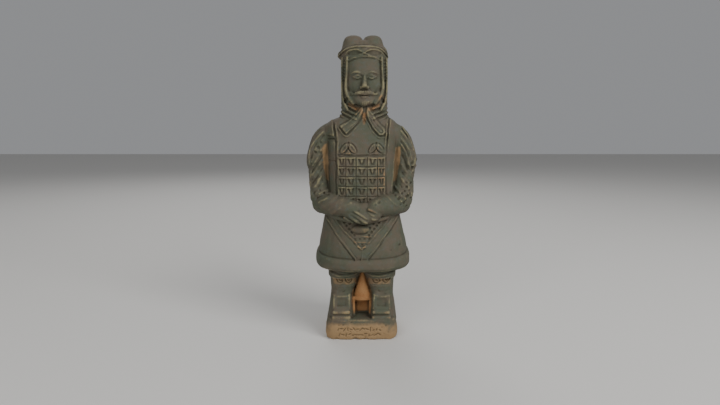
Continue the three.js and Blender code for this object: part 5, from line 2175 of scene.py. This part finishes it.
        # Painted shade: above 190.5 mm, on the cap's lobes, most of the light rubbed tone is taken away.
        wear *= 1.0 - 0.7 * ease((z - 190.5) / 2.5)
        dust = np.maximum(ease((15.0 - z) / 3.0), 0.6 * ((z > 35) & (z < 43) & (np.abs(x - 0.4) > 4.6)))
        dust = np.maximum(dust, 0.7 * ((z > 100) & (z < 132) & (np.abs(x) > 19)))
        marks = (
            (Mark.WEAR, wear), (Mark.GRIME, grime), (Mark.BARE, bare), (Mark.DUST, dust),
            (Mark.BLUSH, blush)
        )
        for which, values in marks:
            attribute = mesh.attributes.new(which.value, "FLOAT", "POINT")
            attribute.data.foreach_set("value", np.clip(values, 0, 2).astype(np.float32))

    def bare_places(self, x: Grid, y: Grid, z: Grid, wobble: Grid) -> tuple[Grid, Grid]:
        """Where the slip is missing, and where what shows through a rubbed place is orange.

        Args:
            x: X of each point in millimetres.
            y: Y of each point.
            z: Z of each point.
            wobble: A random value for each point.

        Returns:
            The share of bare clay and of orange in rubbed places, for each point.
        """
        away = np.full(x.shape, 9.0)
        for low, high, outline in self.BARE_PLACES:
            keep = (y > low) & (y < high)
            away[keep] = np.minimum(away[keep], signed_gap(outline, x[keep], z[keep]))
        bare = ease(0.5 - away / 2.4 - 0.1 * wobble)
        ends = 0.4 * ease((np.abs(x + 2.0) - 15.0) / 6.0)
        base = ease((14.6 - z + 0.5 * wobble) / 7.5) * (1.0 - ends * ease((z - 1.0) / 6.0))
        bare = np.maximum(bare, np.where(z < BASE_TOP + 0.6, base, 0.0))
        knees = ease(1.5 - np.abs(z - 39.2) / 2.3) * (y < -12) * (np.abs(x - 0.4) > 4.0)
        knees = knees * ease((20.5 - np.abs(x)) / 2.0)
        bare = np.maximum(bare, 0.5 * knees)
        bare *= 1.0 - 0.42 * ((z > 140) & (z < 160))
        blush = knees + ease((30 - z) / 12) * 0.5
        for at_x, at_z, half, tall, force in self.GLOWS:
            blush = blush + force * np.exp(-(((x - at_x) / half) ** 2 + ((z - at_z) / tall) ** 2))
        return bare, np.clip(blush, 0, 1) * (y < 4)


@dataclass
class Studio:
    """Floor, lights and camera.

    Attributes:
        target: What the camera looks at, in metres.
        distance: How far it stands.
        elevation: How high it stands, in degrees.
        lens: Its focal length in millimetres on a 36 mm sensor.
    """

    target: Point = (-0.00103, 0.0, 0.0897)
    distance: float = 0.3362
    elevation: float = 8.0
    lens: float = 24.445

    def build(self) -> None:
        """Set up the studio."""
        self.floor()
        self.light("key_light", (0.7, -0.6, 0.75), 0.55, 9.5)
        self.light("fill_light", (-0.45, -0.85, 0.5), 0.8, 4.5)
        self.light("back_light", (-0.2, 0.8, 0.9), 0.7, 4.0)
        self.camera()
        world = bpy.data.worlds.new("studio")
        world.use_nodes = True
        world.node_tree.nodes["Background"].inputs["Color"].default_value = (0.62, 0.63, 0.65, 1.0)
        world.node_tree.nodes["Background"].inputs["Strength"].default_value = 0.45
        bpy.context.scene.world = world

    def floor(self) -> None:
        """A plain pale floor."""
        reach = 3.0
        mesh = bpy.data.meshes.new("floor")
        corners = [(-reach, -reach, 0), (reach, -reach, 0), (reach, reach, 0), (-reach, reach, 0)]
        mesh.from_pydata(corners, [], [(0, 1, 2, 3)])
        mesh.materials.append(PlainFinish("pale_floor", shade(206, 204, 200)).material())
        floor = placed("floor", mesh)
        floor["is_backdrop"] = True

    def light(self, name: str, place: Point, size: float, power: float) -> None:
        """One soft square light that faces the figure.

        Args:
            name: Name of the light.
            place: Where it stands, in metres.
            size: Its side in metres.
            power: Its power in watts.
        """
        lamp = bpy.data.lights.new(name, "AREA")
        lamp.size = size
        lamp.energy = power
        holder = placed(name, lamp)
        holder.location = place
        holder.rotation_euler = (Vector((0, 0, 0.1)) - Vector(place)).to_track_quat("-Z", "Y").to_euler()

    def camera(self) -> None:
        """The camera, in front and a little above the middle."""
        rise = math.radians(self.elevation)
        place = Vector(self.target) + self.distance * Vector((0, -math.cos(rise), math.sin(rise)))
        lens = bpy.data.cameras.new("camera")
        lens.lens = self.lens
        lens.sensor_width = 36.0
        lens.clip_start = 0.01
        holder = placed("camera", lens)
        holder.location = place
        holder.rotation_euler = (Vector(self.target) - place).to_track_quat("-Z", "Y").to_euler()
        bpy.context.scene.camera = holder


def main() -> None:
    """Build the studio and the figure, and note both sizes."""
    logging.basicConfig(level=logging.INFO, format="%(name)s: %(message)s")
    Studio().build()
    Warrior().build()
    boxes = {"cad": CAD_BOX, "visual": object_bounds()}
    sizes = {name: [list(map(float, corner)) for corner in box] for name, box in boxes.items()}
    LOG.info("cad box %s, visual box %s", sizes["cad"], sizes["visual"])


if __name__ == "__main__":
    main()
